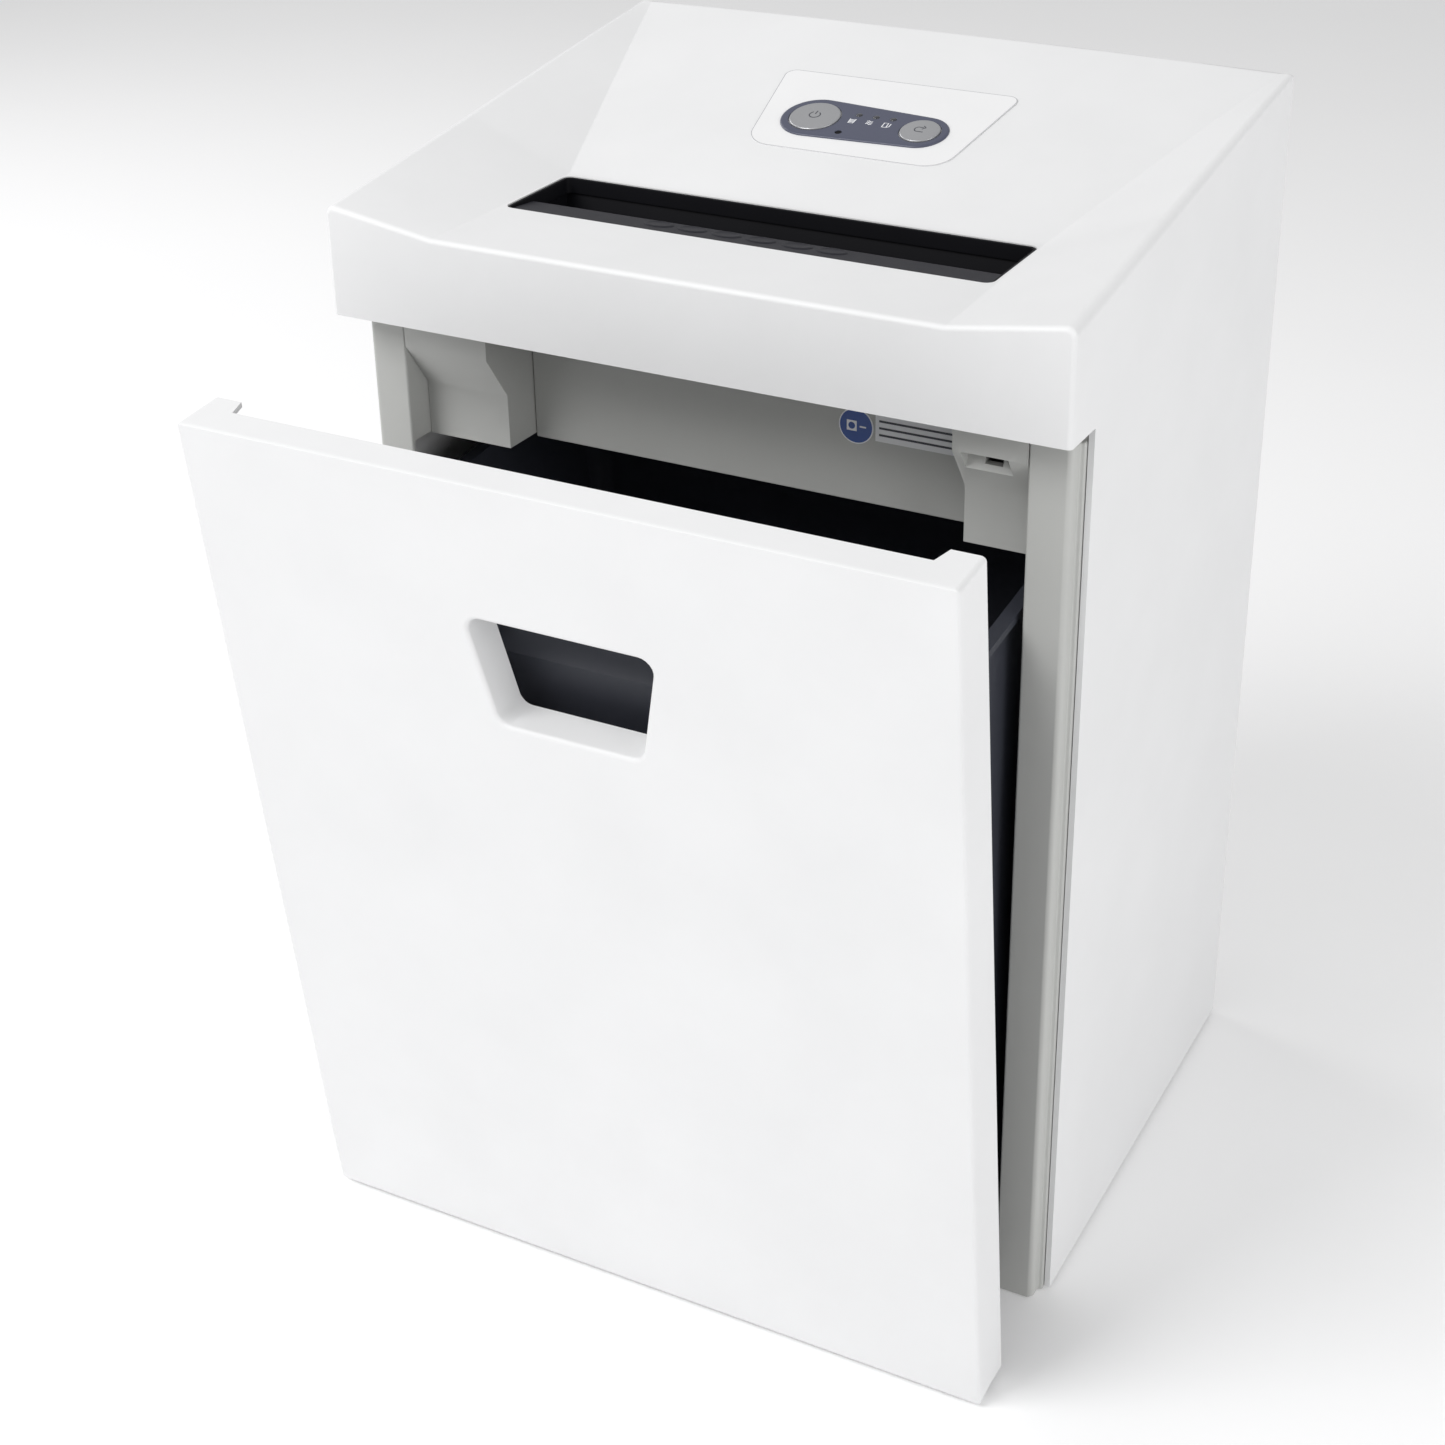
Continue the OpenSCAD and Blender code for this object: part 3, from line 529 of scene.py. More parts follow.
# half width at the top and at the bottom, lowest and highest Z, corner radius and the reveal's depth
GRIP = (42, 33, 380, 423, 7, 20)
REVEAL_NARROWING = 0.985
DOOR_SCREWS = [(x, z) for x in (-130, 130) for z in (80, 340)]
DOOR_SCREW_HEAD_Y = 36.5
POST_R = 7
POST_Y = (2, 33.9)
RIB_X = (-165, -100, 100, 165)
RIB_Y = 5.7
RIB_Z = 260
RIB_SIZE = (1.8, 6.6, 440)


def grip_points():
    """Rounded outline of the grip opening in X and Z, from the lower right corner upwards."""
    top, low, z0, z1, radius, _ = GRIP
    lean = math.degrees(math.atan2(top - low, z1 - z0))
    return [arc((low, z0), radius, -90, -lean, 6), arc((top, z1), radius, -lean, 90, 6),
            arc((-top, z1), radius, 90, 180 + lean, 6), arc((-low, z0), radius, 180 + lean, 270, 6)]


def door():
    """Door in one wall: front with the grip's reveal, side flanges, notched top flange and bottom return."""
    bm = bmesh.new()
    corner = {(sx, sz): bm.verts.new((sx * HALF_W, 0, DOOR_TOP if sz > 0 else DOOR_BOTTOM))
              for sx in (-1, 1) for sz in (-1, 1)}
    groups = [[bm.verts.new((x, 0, z)) for x, z in points] for points in grip_points()]
    ring = [v for points in groups for v in points]
    mid = [points[3] for points in groups]
    index = {v: i for i, v in enumerate(ring)}

    def between_mids(a, b):
        i, j = index[mid[a]], index[mid[b]]
        return ring[i:j + 1] if j > i else ring[i:] + ring[:j + 1]

    bm.faces.new([corner[1, -1], corner[1, 1]] + between_mids(0, 1)[::-1])
    bm.faces.new([corner[1, 1], corner[-1, 1]] + between_mids(1, 2)[::-1])
    bm.faces.new([corner[-1, 1], corner[-1, -1]] + between_mids(2, 3)[::-1])
    bm.faces.new([corner[-1, -1], corner[1, -1]] + between_mids(3, 0)[::-1])
    reveal = [bm.verts.new((v.co.x * REVEAL_NARROWING, GRIP[5], v.co.z)) for v in ring]
    for i in range(len(ring)):
        j = (i + 1) % len(ring)
        bm.faces.new((ring[i], ring[j], reveal[j], reveal[i]))
    back = {}
    for sx in (-1, 1):
        for sz in (-1, 1):
            back[sx, sz] = bm.verts.new((sx * HALF_W, DOOR_FLANGE, corner[sx, sz].co.z))
        heel = bm.verts.new((sx * HALF_W, BOTTOM_RETURN, DOOR_BOTTOM))
        back[sx, 0] = heel
        bm.faces.new((corner[sx, -1], heel, back[sx, -1], back[sx, 1], corner[sx, 1]))
    outer_x, inner_x = NOTCH_X
    notch = [bm.verts.new((x, y, DOOR_TOP)) for x, y in
             ((-outer_x, DOOR_FLANGE), (-inner_x, TOP_FLANGE), (inner_x, TOP_FLANGE), (outer_x, DOOR_FLANGE))]
    bm.faces.new([corner[-1, 1], back[-1, 1]] + notch + [back[1, 1], corner[1, 1]])
    bm.faces.new((corner[-1, -1], corner[1, -1], back[1, 0], back[-1, 0]))
    outward(bm)
    front = [f for f in bm.faces if abs(f.calc_center_median().y) < 0.01]
    if front[0].normal.y > 0:
        bmesh.ops.reverse_faces(bm, faces=bm.faces)
    piece = piece_from("door_shell", bm, OPENED, [FINISHES["casing_white"]])
    softened_edges(piece, 2.4, 4, 50)
    walled(piece, DOOR_WALL)
    softened_edges(piece, 0.6, 2, 60)
    baked(piece)
    return kept(piece, "bin_unit", "casing_white", "door_panel")


def door_inside():
    """Screw posts and stiffening ribs on the door's back."""
    bm = bmesh.new()
    for at in DOOR_SCREWS:
        low, high = ([bm.verts.new((x, y, z)) for x, z in circle(at, POST_R, 24)] for y in POST_Y)
        for i in range(len(low)):
            j = (i + 1) % len(low)
            bm.faces.new((low[i], low[j], high[j], high[i]))
        bm.faces.new(low[::-1])
        bm.faces.new(high)
    for x in RIB_X:
        verts = bmesh.ops.create_cube(bm, size=1)["verts"]
        box = Matrix.Translation((x, RIB_Y, RIB_Z)) @ Matrix.Diagonal((*RIB_SIZE, 1))
        bmesh.ops.transform(bm, matrix=box, verts=verts)
    outward(bm)
    piece = softened_edges(piece_from("door_ribs", bm, OPENED, [FINISHES["casing_white"]]), 0.3, 2)
    return kept(baked(piece), "bin_unit", "casing_white")


door()
door_inside()

# ---- the other mouldings, with their edges rounded ----
# CAD node, name of its rounded copy and width of the rounding
ROUNDED = (
    ("front_frame", "door_posts_and_sill", 1.2),
    ("left_hanger", "left_carrier", 1.2),
    ("right_hanger", "right_carrier", 1.2),
    ("chip_guard", "chip_wall", 0.6),
    ("base_tray", "floor_tray", 0.6),
    ("power_inlet", "mains_inlet", 0.4),
    ("switch_tab", "switch_finger", 0.5),
    ("bin_glides", "bin_skids", 0.8),
    ("waste_bin", "waste_box", 1.1),
    ("floor_pads", "floor_feet", 0.3),
    ("motor_body", "motor_can", 0.5),
    ("motor_end_caps", "motor_bells", 0.6),
    ("drive_board", "drive_electronics", 0.3),
    ("motor_capacitor", "run_capacitor", 0.8),
)
for source, name, width in ROUNDED:
    kept(cad_copy(source, name, width), frame["nodes"][source]["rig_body"], slot_of[source], source)

# ---- rear panel ----
REAR_X = HALF_W - SHELL - 0.3
REAR_Y = BODY_D - 0.5
REAR_Z = (4, FASCIA_BOTTOM + 52)
VENT_X = (52, 98)
VENT_Z = [455 + row * 9 for row in range(8)]
VENT_H = 4
INLET_BOX = (-131, -103, 399, 419.4)


def rear_panel():
    """Flat cover with vent slots and the inlet's cut-out, laid out as a grid of flat faces."""
    near, far = VENT_X
    holes = [(x0, x1, z, z + VENT_H) for x0, x1 in ((-far, -near), (near, far)) for z in VENT_Z]
    holes.append(INLET_BOX)
    xs = sorted({-REAR_X, REAR_X, *(hole[k] for hole in holes for k in (0, 1))})
    zs = sorted({*REAR_Z, *(hole[k] for hole in holes for k in (2, 3))})
    bm = bmesh.new()
    grid = {(x, z): bm.verts.new((x, REAR_Y, z)) for x in xs for z in zs}
    for x0, x1 in zip(xs, xs[1:]):
        for z0, z1 in zip(zs, zs[1:]):
            x, z = (x0 + x1) / 2, (z0 + z1) / 2
            if not any(hole[0] < x < hole[1] and hole[2] < z < hole[3] for hole in holes):
                bm.faces.new((grid[x0, z0], grid[x0, z1], grid[x1, z1], grid[x1, z0]))
    piece = piece_from("rear_panel", bm, PLACE, [FINISHES["casing_white"]])
    walled(piece, SHELL)
    softened_edges(piece, 0.5, 3)
    return kept(baked(piece), "cabinet", "casing_white", "rear_cover")


rear_panel()

# ---- paper funnel ----
THROAT_Y = (104, 112)
THROAT_Z = (498, 514)
WALL_T = 2.5
WALL_TOP = LEDGE_Z - 5.2
LIP = ((60.4, LEDGE_Z - 0.2), (84, LEDGE_Z - 2))
LIP_T = 2.6
LIP_SIDE_GAP = 2.2
LIP_HEEL = (91, 540)
LINER_INSET = (0.3, 1.8)
LINER_DROP = (1.5, 0.5)


def along_x(bm, outline, x0, x1):
    """A closed bar along X over an outline in Y and Z."""
    near = [bm.verts.new((x0, y, z)) for y, z in outline]
    far = [bm.verts.new((x1, y, z)) for y, z in outline]
    bm.faces.new(near)
    bm.faces.new(far[::-1])
    for i in range(len(outline)):
        j = (i + 1) % len(outline)
        bm.faces.new((near[i], far[i], far[j], near[j]))


def funnel():
    """Nearly level lip in the slot's front, and walls that fall to the cutters: dark plastic, drawn blacker
    than the lip as painted shade inside the slot.
    """
    half, front, back = SLOT
    gap_0, gap_1 = THROAT_Y
    low, neck = THROAT_Z
    (y0, z0), (y1, z1) = LIP
    heel_y, heel_z = LIP_HEEL
    bm = bmesh.new()
    shown = [(y0, z0), (y1 - 2, z1 + 0.15), (y1 - 0.6, z1 - 0.1), (y1 + 0.4, z1 - 1), LIP_HEEL, (gap_0, neck)]
    hidden = [(gap_0 - 2, neck), (heel_y - 2, heel_z - 1.5), (y1 - 1.6, z1 - LIP_T)]
    along_x(bm, [(y0, z0 - LIP_T)] + shown + hidden, LIP_SIDE_GAP - half, half - LIP_SIDE_GAP)
    outward(bm)
    lip = softened_edges(piece_from("funnel_lip", bm, PLACE, [FINISHES["throat_dark"]]), 0.5, 3)
    kept(baked(lip), "cabinet", "throat_dark")
    bm = bmesh.new()
    top, inside, outside = WALL_TOP, neck - 1, gap_1 + WALL_T
    rear_wall = [(back + WALL_T, top), (back, top), (gap_1, neck), (gap_1, low), (outside, low),
                 (outside, inside)]
    along_x(bm, rear_wall, -half, half)
    along_x(bm, [(front + 0.4, top - 3), (front + 0.4, top), (76, top - 0.4), (76, top - 3)], -half, half)
    along_x(bm, [(gap_0 - WALL_T, low), (gap_0, low), (gap_0, neck), (gap_0 - WALL_T, neck)], -half, half)
    cheek = [(front - 3, top - 3), (front - 3, top), (back + WALL_T, top), (outside, inside), (outside, low),
             (gap_0 - WALL_T, low), (gap_0 - WALL_T, inside), (88.5, 534.3)]
    for side in (-1, 1):
        along_x(bm, cheek, side * half, side * (half + WALL_T))
    foot, gap = LINER_DROP
    outer, inner = ([bm.verts.new((x, y, top - foot)) for x, y in
                     rounded_rect(half - inset, front + inset, back - inset, SLOT_ROUND - inset)]
                    for inset in LINER_INSET)
    count = len(outer)
    ring = []
    for i in range(count):
        j = (i + 1) % count
        ring.append(bm.faces.new((outer[i], outer[j], inner[j], inner[i])))
    lifted = bmesh.ops.extrude_face_region(bm, geom=ring)["geom"]
    for v in (g for g in lifted if isinstance(g, bmesh.types.BMVert)):
        v.co.z = LEDGE_Z - gap + (CREASE_Z - LEDGE_Z) * v.co.y / CREASE_Y
    outward(bm)
    # The walls and the liner ring take part_black, blacker than the lip's throat_dark: dark plastic with
    # painted shade inside the slot on top.
    walls = softened_edges(piece_from("funnel_walls", bm, PLACE, [FINISHES["part_black"]]), 0.3, 2)
    return kept(baked(walls), "cabinet", "throat_dark", "throat_guide")


funnel()

# ---- control panel ----
LABEL_X = (70, 56.8)
LABEL_Y = (132, 53)
LABEL_ROUND = (6, 6, 16, 16)
LABEL_Z = (0.02, 0.4)
LABEL_BORDER = 0.4
POWER_AT = (-30.5, 85)
REVERSE_AT = (31.5, 84)
BEZEL_R = (19, 15.5)
BUTTON_R = (14, 11)
BUTTON_GAP = 0.5
SENSOR_AT = (-11, 73)
SENSOR_R = 2
LAMP_X = (-7.5, 2.5, 12.5)
LAMP_Y = 92
LAMP_R = 1.8
DRILL_Z = (-0.35, 4)
# share of the radius and height, from the skirt's foot over the rolled rim to the middle
KEY_PROFILE = [(1, -3.4), (1, 1.5), (0.985, 1.85), (0.955, 2.08), (0.91, 2.16), (0.86, 2.12), (0.75, 2.3),
               (0.55, 2.45), (0.3, 2.56), (0, 2.6)]
DOME_RINGS = 4
LENS_PROFILE = [(1, 0.6), (1, 1.35), (0.9, 1.6), (0.65, 1.8), (0.3, 1.9), (0, 1.95)]
PRINT_LIFT = 0.03
PRINT_T = 0.06
POWER_STROKE = 0.7
POWER_GAP = 35
REVERSE_STROKE = 0.65
ICON_X = -1.3
ICON_Y = 85.4
ICON_Z = 1.5
ICON_SIZE = 1.35
ICON_STROKE = 0.55


def rounded_outline(corners, radii, steps):
    """A closed outline with each corner rounded by its own radius."""
    count = len(corners)
    points = []
    for i, radius in enumerate(radii):
        points += fillet(corners[i - 1], corners[i], corners[(i + 1) % count], radius, steps)
    return points


def label():
    """Satin foil with a thin printed border."""
    (top_x, low_x), (top_y, low_y) = LABEL_X, LABEL_Y
    corners = [(top_x, top_y), (-top_x, top_y), (-low_x, low_y), (low_x, low_y)]
    bm = bmesh.new()
    prism(bm, rounded_outline(corners, LABEL_ROUND, 10), *LABEL_Z)
    outward(bm)
    top = max(bm.faces, key=lambda f: f.calc_center_median().z)
    bmesh.ops.inset_region(bm, faces=[top], thickness=LABEL_BORDER, use_even_offset=True)
    ring = [f for f in bm.faces if f.normal.z > 0.9 and f is not top]
    for face in ring:
        face.material_index = 1
    bmesh.ops.inset_region(bm, faces=[top], thickness=0.01)
    piece = piece_from("control_foil", bm, ON_PANEL, [FINISHES["label_foil"], FINISHES["border_ink"]])
    return kept(baked(piece), "cabinet", "label_foil", "control_label")


def pill(grow):
    """The bezel's outline: a big and a small round end joined by tangents."""
    span = REVERSE_AT[0] - POWER_AT[0]
    lean = math.degrees(math.asin((BEZEL_R[0] - BEZEL_R[1]) / span))
    return (arc(REVERSE_AT, BEZEL_R[1] + grow, lean - 90, 90 - lean, 20)
            + arc(POWER_AT, BEZEL_R[0] + grow, 90 - lean, 270 + lean, 26))


def dished(bm, at, radius, profile, steps=48):
    """A round surface on an axis: profile is (share of the radius, height) from rim to middle."""
    rings = []
    for share, height in profile:
        if share == 0:
            rings.append([bm.verts.new((at[0], at[1], height))])
        else:
            rings.append([bm.verts.new((x, y, height)) for x, y in circle(at, radius * share, steps)])
    for a, b in zip(rings, rings[1:]):
        for i in range(steps):
            j = (i + 1) % steps
            if len(b) == 1:
                bm.faces.new((a[i], a[j], b[0]))
            else:
                bm.faces.new((a[i], a[j], b[j], b[i]))


def bezel():
    """Slate pill with a rolled edge, drilled for the keys, the lenses and the sensor."""
    bm = bmesh.new()
    levels = [(0, -0.5), (0, 0.7), (-0.25, 1.1), (-0.8, 1.35), (-1.6, 1.45)]
    rows = [[bm.verts.new((x, y, z)) for x, y in pill(grow)] for grow, z in levels]
    count = len(rows[0])
    for low, high in zip(rows, rows[1:]):
        for i in range(count):
            j = (i + 1) % count
            bm.faces.new((low[i], low[j], high[j], high[i]))
    bm.faces.new(rows[0][::-1])
    bm.faces.new(rows[-1])
    outward(bm)
    piece = piece_from("key_bezel", bm, ON_PANEL, [FINISHES["bezel_slate"]])
    drill = bmesh.new()
    holes = [(at, radius + BUTTON_GAP) for at, radius in zip((POWER_AT, REVERSE_AT), BUTTON_R)]
    holes += [(SENSOR_AT, SENSOR_R)] + [((x, LAMP_Y), LAMP_R) for x in LAMP_X]
    for at, radius in holes:
        prism(drill, circle(at, radius), *DRILL_Z)
    outward(drill)
    drills = piece_from("bezel_drills", drill, ON_PANEL, [])
    cut = piece.modifiers.new("drill", "BOOLEAN")
    cut.operation = "DIFFERENCE"
    cut.solver = "EXACT"
    cut.object = drills
    softened_edges(piece, 0.25, 2, 60)
    baked(piece)
    bpy.data.objects.remove(drills)
    return kept(piece, "cabinet", "bezel_slate", "control_bezel")


def key(name, at, radius, body, node):
    """Domed silver key with a rolled rim and a skirt below it."""
    bm = bmesh.new()
    dished(bm, at, radius, KEY_PROFILE)
    foot = KEY_PROFILE[0][1]
    base = [v for v in bm.verts if v.co.z < foot + 0.1]
    bm.faces.new(base[::-1])
    outward(bm)
    piece = piece_from(name, bm, ON_PANEL, [FINISHES["button_silver"]])
    return kept(baked(piece), body, "button_silver", node)


def band(bm, points, width, height):
    """A flat strip of constant width along an open line of points."""
    left, right = [], []
    for i, p in enumerate(points):
        a = Vector(points[max(i - 1, 0)])
        b = Vector(points[min(i + 1, len(points) - 1)])
        n = Vector((a.y - b.y, b.x - a.x)).normalized() * width / 2
        left.append(bm.verts.new((p[0] + n.x, p[1] + n.y, height(p))))
        right.append(bm.verts.new((p[0] - n.x, p[1] - n.y, height(p))))
    for i in range(len(points) - 1):
        bm.faces.new((left[i], left[i + 1], right[i + 1], right[i]))


def dome(at, radius):
    """Height of a key's cap just above its surface at a point."""
    rings = KEY_PROFILE[::-1][:DOME_RINGS]

    def height(p):
        share = math.hypot(p[0] - at[0], p[1] - at[1]) / radius
        for (s0, h0), (s1, h1) in zip(rings, rings[1:]):
            if share <= s1:
                return h0 + (h1 - h0) * (share - s0) / (s1 - s0) + PRINT_LIFT
        return rings[-1][1] + PRINT_LIFT
    return height


def straight(p, q, steps=4):
    return [(p[0] + (q[0] - p[0]) * i / steps, p[1] + (q[1] - p[1]) * i / steps) for i in range(steps + 1)]


def power_mark():
    """Standby sign: a broken ring and a stroke."""
    bm = bmesh.new()
    cx, cy = POWER_AT
    height = dome(POWER_AT, BUTTON_R[0])
    band(bm, arc(POWER_AT, 3, 90 + POWER_GAP, 450 - POWER_GAP, 28), POWER_STROKE, height)
    band(bm, straight((cx, cy + 0.6), (cx, cy + 4)), POWER_STROKE, height)
    return kept(thin_print("power_mark", bm), "power_key", "bezel_slate")


def reverse_mark():
    """Plain return arrow."""
    bm = bmesh.new()
    cx, cy = REVERSE_AT
    height = dome(REVERSE_AT, BUTTON_R[1])
    tail = straight((cx + 2.6, cy - 2.2), (cx - 1.2, cy - 2.2))
    turn = arc((cx - 0.6, cy), 2.3, 250, 110, 12)
    shaft = straight((cx - 1, cy + 2.2), (cx + 1.4, cy + 2.2))
    tip = (cx + 2.6, cy + 2.2)
    barbs = straight((cx + 0.9, cy + 3.9), tip) + straight(tip, (cx + 0.9, cy + 0.5))
    for run in (tail + turn + shaft, barbs):
        band(bm, run, REVERSE_STROKE, height)
    return kept(thin_print("reverse_mark", bm), "reverse_key", "bezel_slate")


def thin_print(name, bm, ink=None):
    """Print with a hair of thickness."""
    bm.normal_update()
    for face in bm.faces:
        if face.normal.z < 0:
            face.normal_flip()
    piece = piece_from(name, bm, ON_PANEL, [ink or FINISHES["print_ink"]])
    wall = piece.modifiers.new("ink", "SOLIDIFY")
    wall.thickness = PRINT_T * MM
    return baked(piece)


def lamp_icons():
    """Small pictures under the lamps: a full bin, a creased sheet and an open door."""
    bm = bmesh.new()

    def level(_):
        return ICON_Z

    full_bin = [[(-1.2, 1.5), (-1, -1.6), (1, -1.6), (1.2, 1.5)]]
    full_bin += [[(-0.9, rise), (0.9, rise)] for rise in (-0.8, 0, 0.8)]
    creased_sheet = [[(-1.3, rise), (-0.5, rise + 0.4), (0.4, rise - 0.3), (1.3, rise + 0.1)]
                     for rise in (1.2, 0.2, -0.8)]
    open_door = [[(-1.3, -1.6), (-1.3, 1.6), (0.5, 1.6), (0.5, -1.6), (-1.3, -1.6)],
                 [(0.5, -1.6), (1.6, -0.8), (1.6, 1.4)]]
    for lamp_x, runs in zip(LAMP_X, (full_bin, creased_sheet, open_door)):
        x = lamp_x + ICON_X
        for run in runs:
            band(bm, [(x + ICON_SIZE * px, ICON_Y + ICON_SIZE * py) for px, py in run], ICON_STROKE, level)
    return kept(thin_print("lamp_icons", bm, FINISHES["icon_ink"]), "cabinet", "label_foil")


def lenses():
    """Low dark domes over the three lamps."""
    bm = bmesh.new()
    for x in LAMP_X:
        dished(bm, (x, LAMP_Y), LAMP_R - 0.05, LENS_PROFILE, 24)
        bm.faces.new([v for v in bm.verts if v.co.z < 0.7 and abs(v.co.x - x) < 2][::-1])
    outward(bm)
    piece = piece_from("lamp_lenses", bm, ON_PANEL, [FINISHES["lens_clear"]])
    return kept(baked(piece), "cabinet", "lens_clear", "led_lenses")


label()
bezel()
lenses()
key("power_cap", POWER_AT, BUTTON_R[0], "power_key", "power_button")
key("reverse_cap", REVERSE_AT, BUTTON_R[1], "reverse_key", "reverse_button")
power_mark()
reverse_mark()
lamp_icons()


# ---- sticker on the chip wall ----
STICKER_DISC = (65, 469, 9.3)
STICKER_RIM = 0.6
STICKER_PLATE = (75.5, 133, 463, 492)
STICKER_Y = (59.6, 60)
LAYER = 0.05
SIGN_HALF = 2.7
SIGN_HOLE = 1.8
BAR_H = 1.1
BAR_PITCH = 3.6
BAR_ENDS = (3, 6, 3, 9, 4, 5)


def on_wall(bm, outline, layer, material):
    """A thin plate in X and Z that looks to the front. Layer 0 lies nearest to the wall."""
    face_y, wall_y = STICKER_Y
    y = face_y + (2 - layer) * LAYER
    front = [bm.verts.new((x, y, z)) for x, z in outline]
    back = [bm.verts.new((x, wall_y, z)) for x, z in outline]
    faces = [bm.faces.new(front), bm.faces.new(back[::-1])]
    for i in range(len(outline)):
        j = (i + 1) % len(outline)
        faces.append(bm.faces.new((front[i], back[i], back[j], front[j])))
    for face in faces:
        face.material_index = material


def box_outline(x0, x1, z0, z1):
    return [(x0, z0), (x1, z0), (x1, z1), (x0, z1)]


def sticker():
    """Blue disc with a white rim and a plain socket sign, beside a pale plate with plain bars."""
    blue, pale, dark = range(3)
    bm = bmesh.new()
    x, z, radius = STICKER_DISC
    on_wall(bm, circle((x, z), radius), 0, pale)
    on_wall(bm, circle((x, z), radius - STICKER_RIM), 1, blue)
    on_wall(bm, box_outline(x - 5, x + 0.4, z - SIGN_HALF, z + SIGN_HALF), 2, pale)
    on_wall(bm, box_outline(x + 2, x + 5.4, z - 0.4, z + 0.4), 2, pale)
    on_wall(bm, circle((x - 2.3, z), SIGN_HOLE, 24), 3, blue)
    x0, x1, z0, z1 = STICKER_PLATE
    on_wall(bm, box_outline(x0, x1, z0, z1), 0, pale)
    for row, end in enumerate(BAR_ENDS):
        z = z0 + 3 + row * BAR_PITCH
        on_wall(bm, box_outline(x0 + 2, x1 - end, z, z + BAR_H), 2, dark)
    outward(bm)
    inks = [FINISHES[name] for name in ("sticker_blue", "icon_ink", "print_ink")]
    piece = piece_from("guard_stickers", bm, PLACE, inks)
    return kept(baked(piece), "cabinet", "sticker_blue", "guard_sticker")


sticker()

# ---- what repeats, by geometry nodes ----
def spread(name, points, unit, inputs, material, place=PLACE):
    """Sets one unit shape on every point with geometry nodes, baked to a plain mesh.

    The inputs are Size, a scale along X, Y and Z, and Turn, in radians about X, Y and Z.
    """
    tree = bpy.data.node_groups.new(name + "_layout", "GeometryNodeTree")
    face = tree.interface
    face.new_socket("Geometry", in_out="INPUT", socket_type="NodeSocketGeometry")
    face.new_socket("Geometry", in_out="OUTPUT", socket_type="NodeSocketGeometry")
    sockets = {}
    for n in inputs:
        sockets[n] = face.new_socket(n, in_out="INPUT", socket_type="NodeSocketVector").identifier
    nodes, links = tree.nodes, tree.links
    group_in = nodes.new("NodeGroupInput")
    group_out = nodes.new("NodeGroupOutput")
    info = nodes.new("GeometryNodeObjectInfo")
    info.inputs["Object"].default_value = unit
    stand = nodes.new("GeometryNodeInstanceOnPoints")
    real = nodes.new("GeometryNodeRealizeInstances")
    paint = nodes.new("GeometryNodeSetMaterial")
    paint.inputs["Material"].default_value = material
    links.new(group_in.outputs["Geometry"], stand.inputs["Points"])
    links.new(info.outputs["Geometry"], stand.inputs["Instance"])
    links.new(group_in.outputs["Size"], stand.inputs["Scale"])
    links.new(group_in.outputs["Turn"], stand.inputs["Rotation"])
    links.new(stand.outputs["Instances"], real.inputs["Geometry"])
    links.new(real.outputs["Geometry"], paint.inputs["Geometry"])
    links.new(paint.outputs["Geometry"], group_out.inputs["Geometry"])
    mesh = bpy.data.meshes.new(name)
    mesh.from_pydata([place @ Vector(p) for p in points], [], [])
    piece = bpy.data.objects.new(name, mesh)
    bpy.context.scene.collection.objects.link(piece)
    layout = piece.modifiers.new("layout", "NODES")
    layout.node_group = tree
    for n, value in inputs.items():
        layout[sockets[n]] = value
    baked(piece)
    bpy.data.objects.remove(unit)
    return piece


def unit_shape(name, bm):
    """A shape drawn round its own origin, for spread() to repeat."""
    outward(bm)
    return piece_from(name, bm, Matrix.Scale(MM, 4), [])


def screw_head(radius, height):
    """Pan head facing +Z with a cross recess."""
    bm = bmesh.new()
    dished(bm, (0, 0), radius, [(1, 0), (1, height * 0.4), (0.93, height * 0.75), (0.75, height * 0.95),
                                (0.42, height), (0.36, height * 0.4), (0, height * 0.3)], 20)
    bm.faces.new([v for v in bm.verts if abs(v.co.z) < 1e-6][::-1])
    for turn in (0, 90):
        verts = bmesh.ops.create_cube(bm, size=1)["verts"]
        size = Matrix.Diagonal((radius * 0.3, radius * 0.12, height * 0.2, 1))
        raised = Matrix.Translation((0, 0, height * 0.3)) @ size
        bmesh.ops.transform(bm, matrix=Matrix.Rotation(math.radians(turn), 4, "Z") @ raised, verts=verts)
    return unit_shape("screw_head", bm)


def oval_pad():
    """Low oval pad with a soft edge."""
    bm = bmesh.new()
    dished(bm, (0, 0), 1, [(1, -0.3), (1, 0.35), (0.9, 0.7), (0.78, 0.75), (0.7, 0.5), (0, 0.5)], 28)
    bm.faces.new([v for v in bm.verts if v.co.z < -0.2][::-1])
    return unit_shape("oval_pad", bm)


def louvre():
    """A unit blade, to be scaled to its slot."""
    bm = bmesh.new()
    bmesh.ops.create_cube(bm, size=1)
    return unit_shape("louvre", bm)


FACING_BACK = math.radians(-90)
REAR_SCREWS = [(x, BODY_D - 0.4, z) for x in (-182, 182) for z in (20, 280, 545)]
REAR_SCREW_HEAD = (3.8, 1.8)
DOOR_SCREW_HEAD = (4, 2.4)
LIP_FALL = math.atan2(LIP[0][1] - LIP[1][1], LIP[1][0] - LIP[0][0])
LIP_PADS = [(x, 76.5, LEDGE_Z - 1.65) for x in (-53, -34, -14.5, 4.5, 24.5, 43.5)]
LIP_PAD_SIZE = (8.2, 5.6, 1)
BLADE_SIZE = (VENT_X[1] - VENT_X[0], 3.6, 0.8)
BLADE_TURN = math.radians(-35)
BLADES = [(side * sum(VENT_X) / 2, BODY_D - 2.1, z + VENT_H / 2) for side in (-1, 1) for z in VENT_Z]


def rear_screw_heads():
    heads = spread("rear_screw_heads", REAR_SCREWS, screw_head(*REAR_SCREW_HEAD),
                   {"Size": (1, 1, 1), "Turn": (FACING_BACK, 0, 0)}, FINISHES["screw_zinc"])
    return kept(heads, "cabinet", "screw_zinc", "rear_screws")


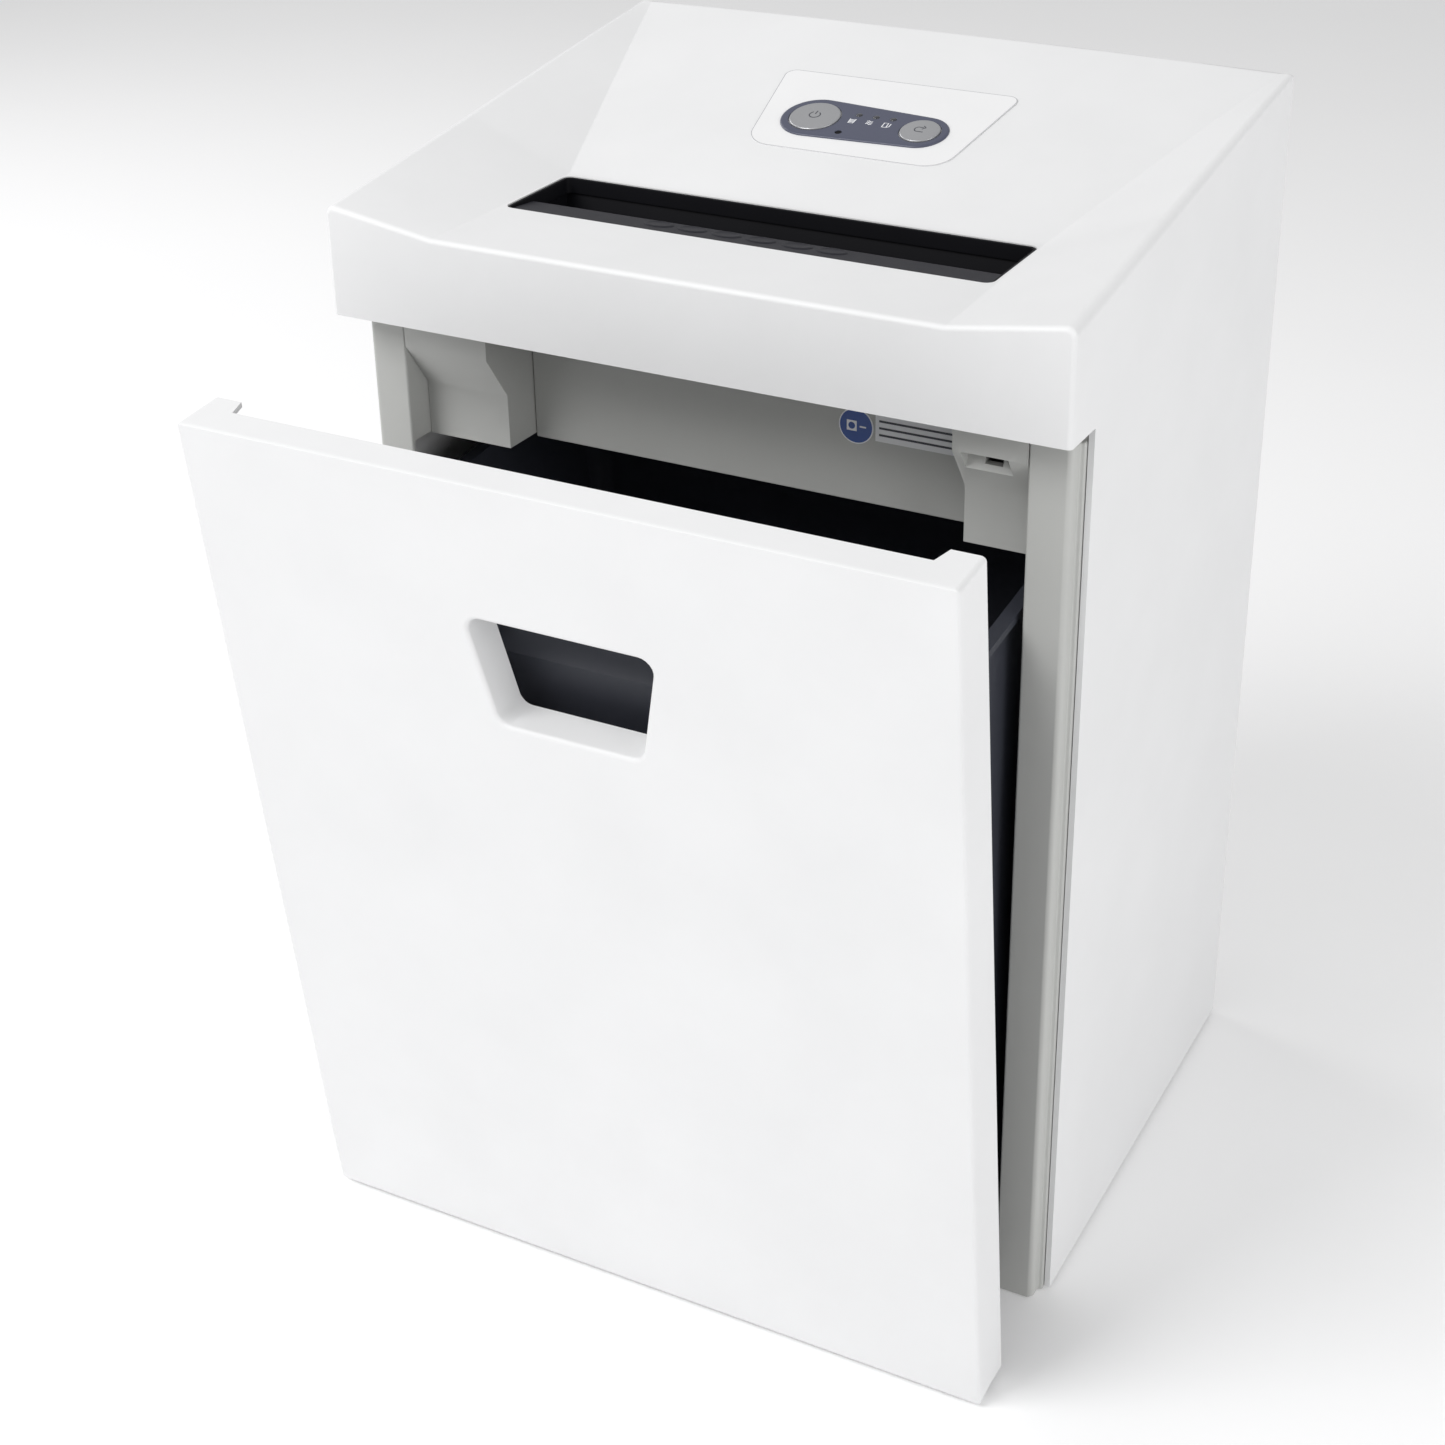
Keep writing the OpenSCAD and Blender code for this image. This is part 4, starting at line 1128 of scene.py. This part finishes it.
def bin_screw_heads():
    """Heads on the door's screw posts, tipped with the bin unit."""
    places = [(x, DOOR_SCREW_HEAD_Y, z) for x, z in DOOR_SCREWS]
    turn = (tip_angle + FACING_BACK, 0, 0)
    heads = spread("bin_screw_heads", places, screw_head(*DOOR_SCREW_HEAD),
                   {"Size": (1, 1, 1), "Turn": turn}, FINISHES["screw_zinc"], OPENED)
    return kept(heads, "bin_unit", "screw_zinc")


def funnel_pads():
    pads = spread("funnel_pads", LIP_PADS, oval_pad(),
                  {"Size": LIP_PAD_SIZE, "Turn": (-LIP_FALL, 0, 0)}, FINISHES["throat_dark"])
    return kept(pads, "cabinet", "throat_dark")


def vent_blades():
    blades = spread("vent_blades", BLADES, louvre(),
                    {"Size": BLADE_SIZE, "Turn": (BLADE_TURN, 0, 0)}, FINISHES["casing_white"])
    return kept(blades, "cabinet", "casing_white")


rear_screw_heads()
bin_screw_heads()
funnel_pads()
vent_blades()


# ---- studio ----
# name, place, width and watts
LAMPS = (
    ("key", (-1.2, -1.9, 2.6), 1.6, 55),
    ("fill", (2.6, -0.9, 1.1), 1.6, 25),
    ("rim", (-2.4, 0.4, 1.6), 1.4, 16),
)
LAMP_AIM = Vector((0, 0, 0.3))
SURROUND = 0.52
FLOOR_R = 9
FLOOR_Z = -0.0005
FLOOR_GLOW = 0.1
FLOOR_SHADES = ((0.9, 0.9, 0.905), (0.92, 0.92, 0.925))
VIEW_LENS = 58.7
VIEW_SHIFT = (-0.1, -0.1)
VIEW_AT = (0.5303, -1.0579, 0.9008)
# azimuth, elevation and roll, in degrees
VIEW_TURN = (25.5, 25.7, 0.5)


def studio():
    """Plain pale floor, a white surround and large soft lamps."""
    bm = bmesh.new()
    bmesh.ops.create_circle(bm, cap_ends=True, radius=FLOOR_R, segments=96)
    floor_mesh = bpy.data.meshes.new("studio_floor")
    bm.to_mesh(floor_mesh)
    bm.free()
    mat, tree, shader = finish("studio_floor")
    shader.inputs["Roughness"].default_value = 0.9
    cloud = noise(tree, coords(tree), 3, 2)
    tree.links.new(ramp(tree, cloud, list(enumerate(FLOOR_SHADES))), shader.inputs["Base Color"])
    shader.inputs["Emission Color"].default_value = (1, 1, 1, 1)
    shader.inputs["Emission Strength"].default_value = FLOOR_GLOW
    floor_mesh.materials.append(mat)
    floor = bpy.data.objects.new("studio_floor", floor_mesh)
    floor.location.z = FLOOR_Z
    bpy.context.scene.collection.objects.link(floor)
    world = bpy.data.worlds.new("surround")
    bpy.context.scene.world = world
    world.use_nodes = True
    world.node_tree.nodes["Background"].inputs["Color"].default_value = (1, 1, 1, 1)
    world.node_tree.nodes["Background"].inputs["Strength"].default_value = SURROUND
    for name, place, size, power in LAMPS:
        light = bpy.data.lights.new(name, "AREA")
        light.energy = power
        light.size = size
        lamp = bpy.data.objects.new(name, light)
        lamp.location = place
        lamp.rotation_mode = "QUATERNION"
        lamp.rotation_quaternion = (LAMP_AIM - Vector(place)).to_track_quat("-Z", "Y")
        bpy.context.scene.collection.objects.link(lamp)
    bpy.context.scene.view_settings.view_transform = "Standard"


def camera():
    data = bpy.data.cameras.new("view")
    data.lens = VIEW_LENS
    data.shift_x, data.shift_y = VIEW_SHIFT
    obj = bpy.data.objects.new("view", data)
    bpy.context.scene.collection.objects.link(obj)
    azimuth, elevation, roll = (math.radians(a) for a in VIEW_TURN)
    ahead = Vector((-math.sin(azimuth) * math.cos(elevation), math.cos(azimuth) * math.cos(elevation),
                    -math.sin(elevation)))
    obj.location = VIEW_AT
    obj.rotation_mode = "QUATERNION"
    obj.rotation_quaternion = ahead.to_track_quat("-Z", "Y") @ Matrix.Rotation(roll, 4, "Z").to_quaternion()
    bpy.context.scene.camera = obj


studio()
camera()
bpy.context.view_layer.update()
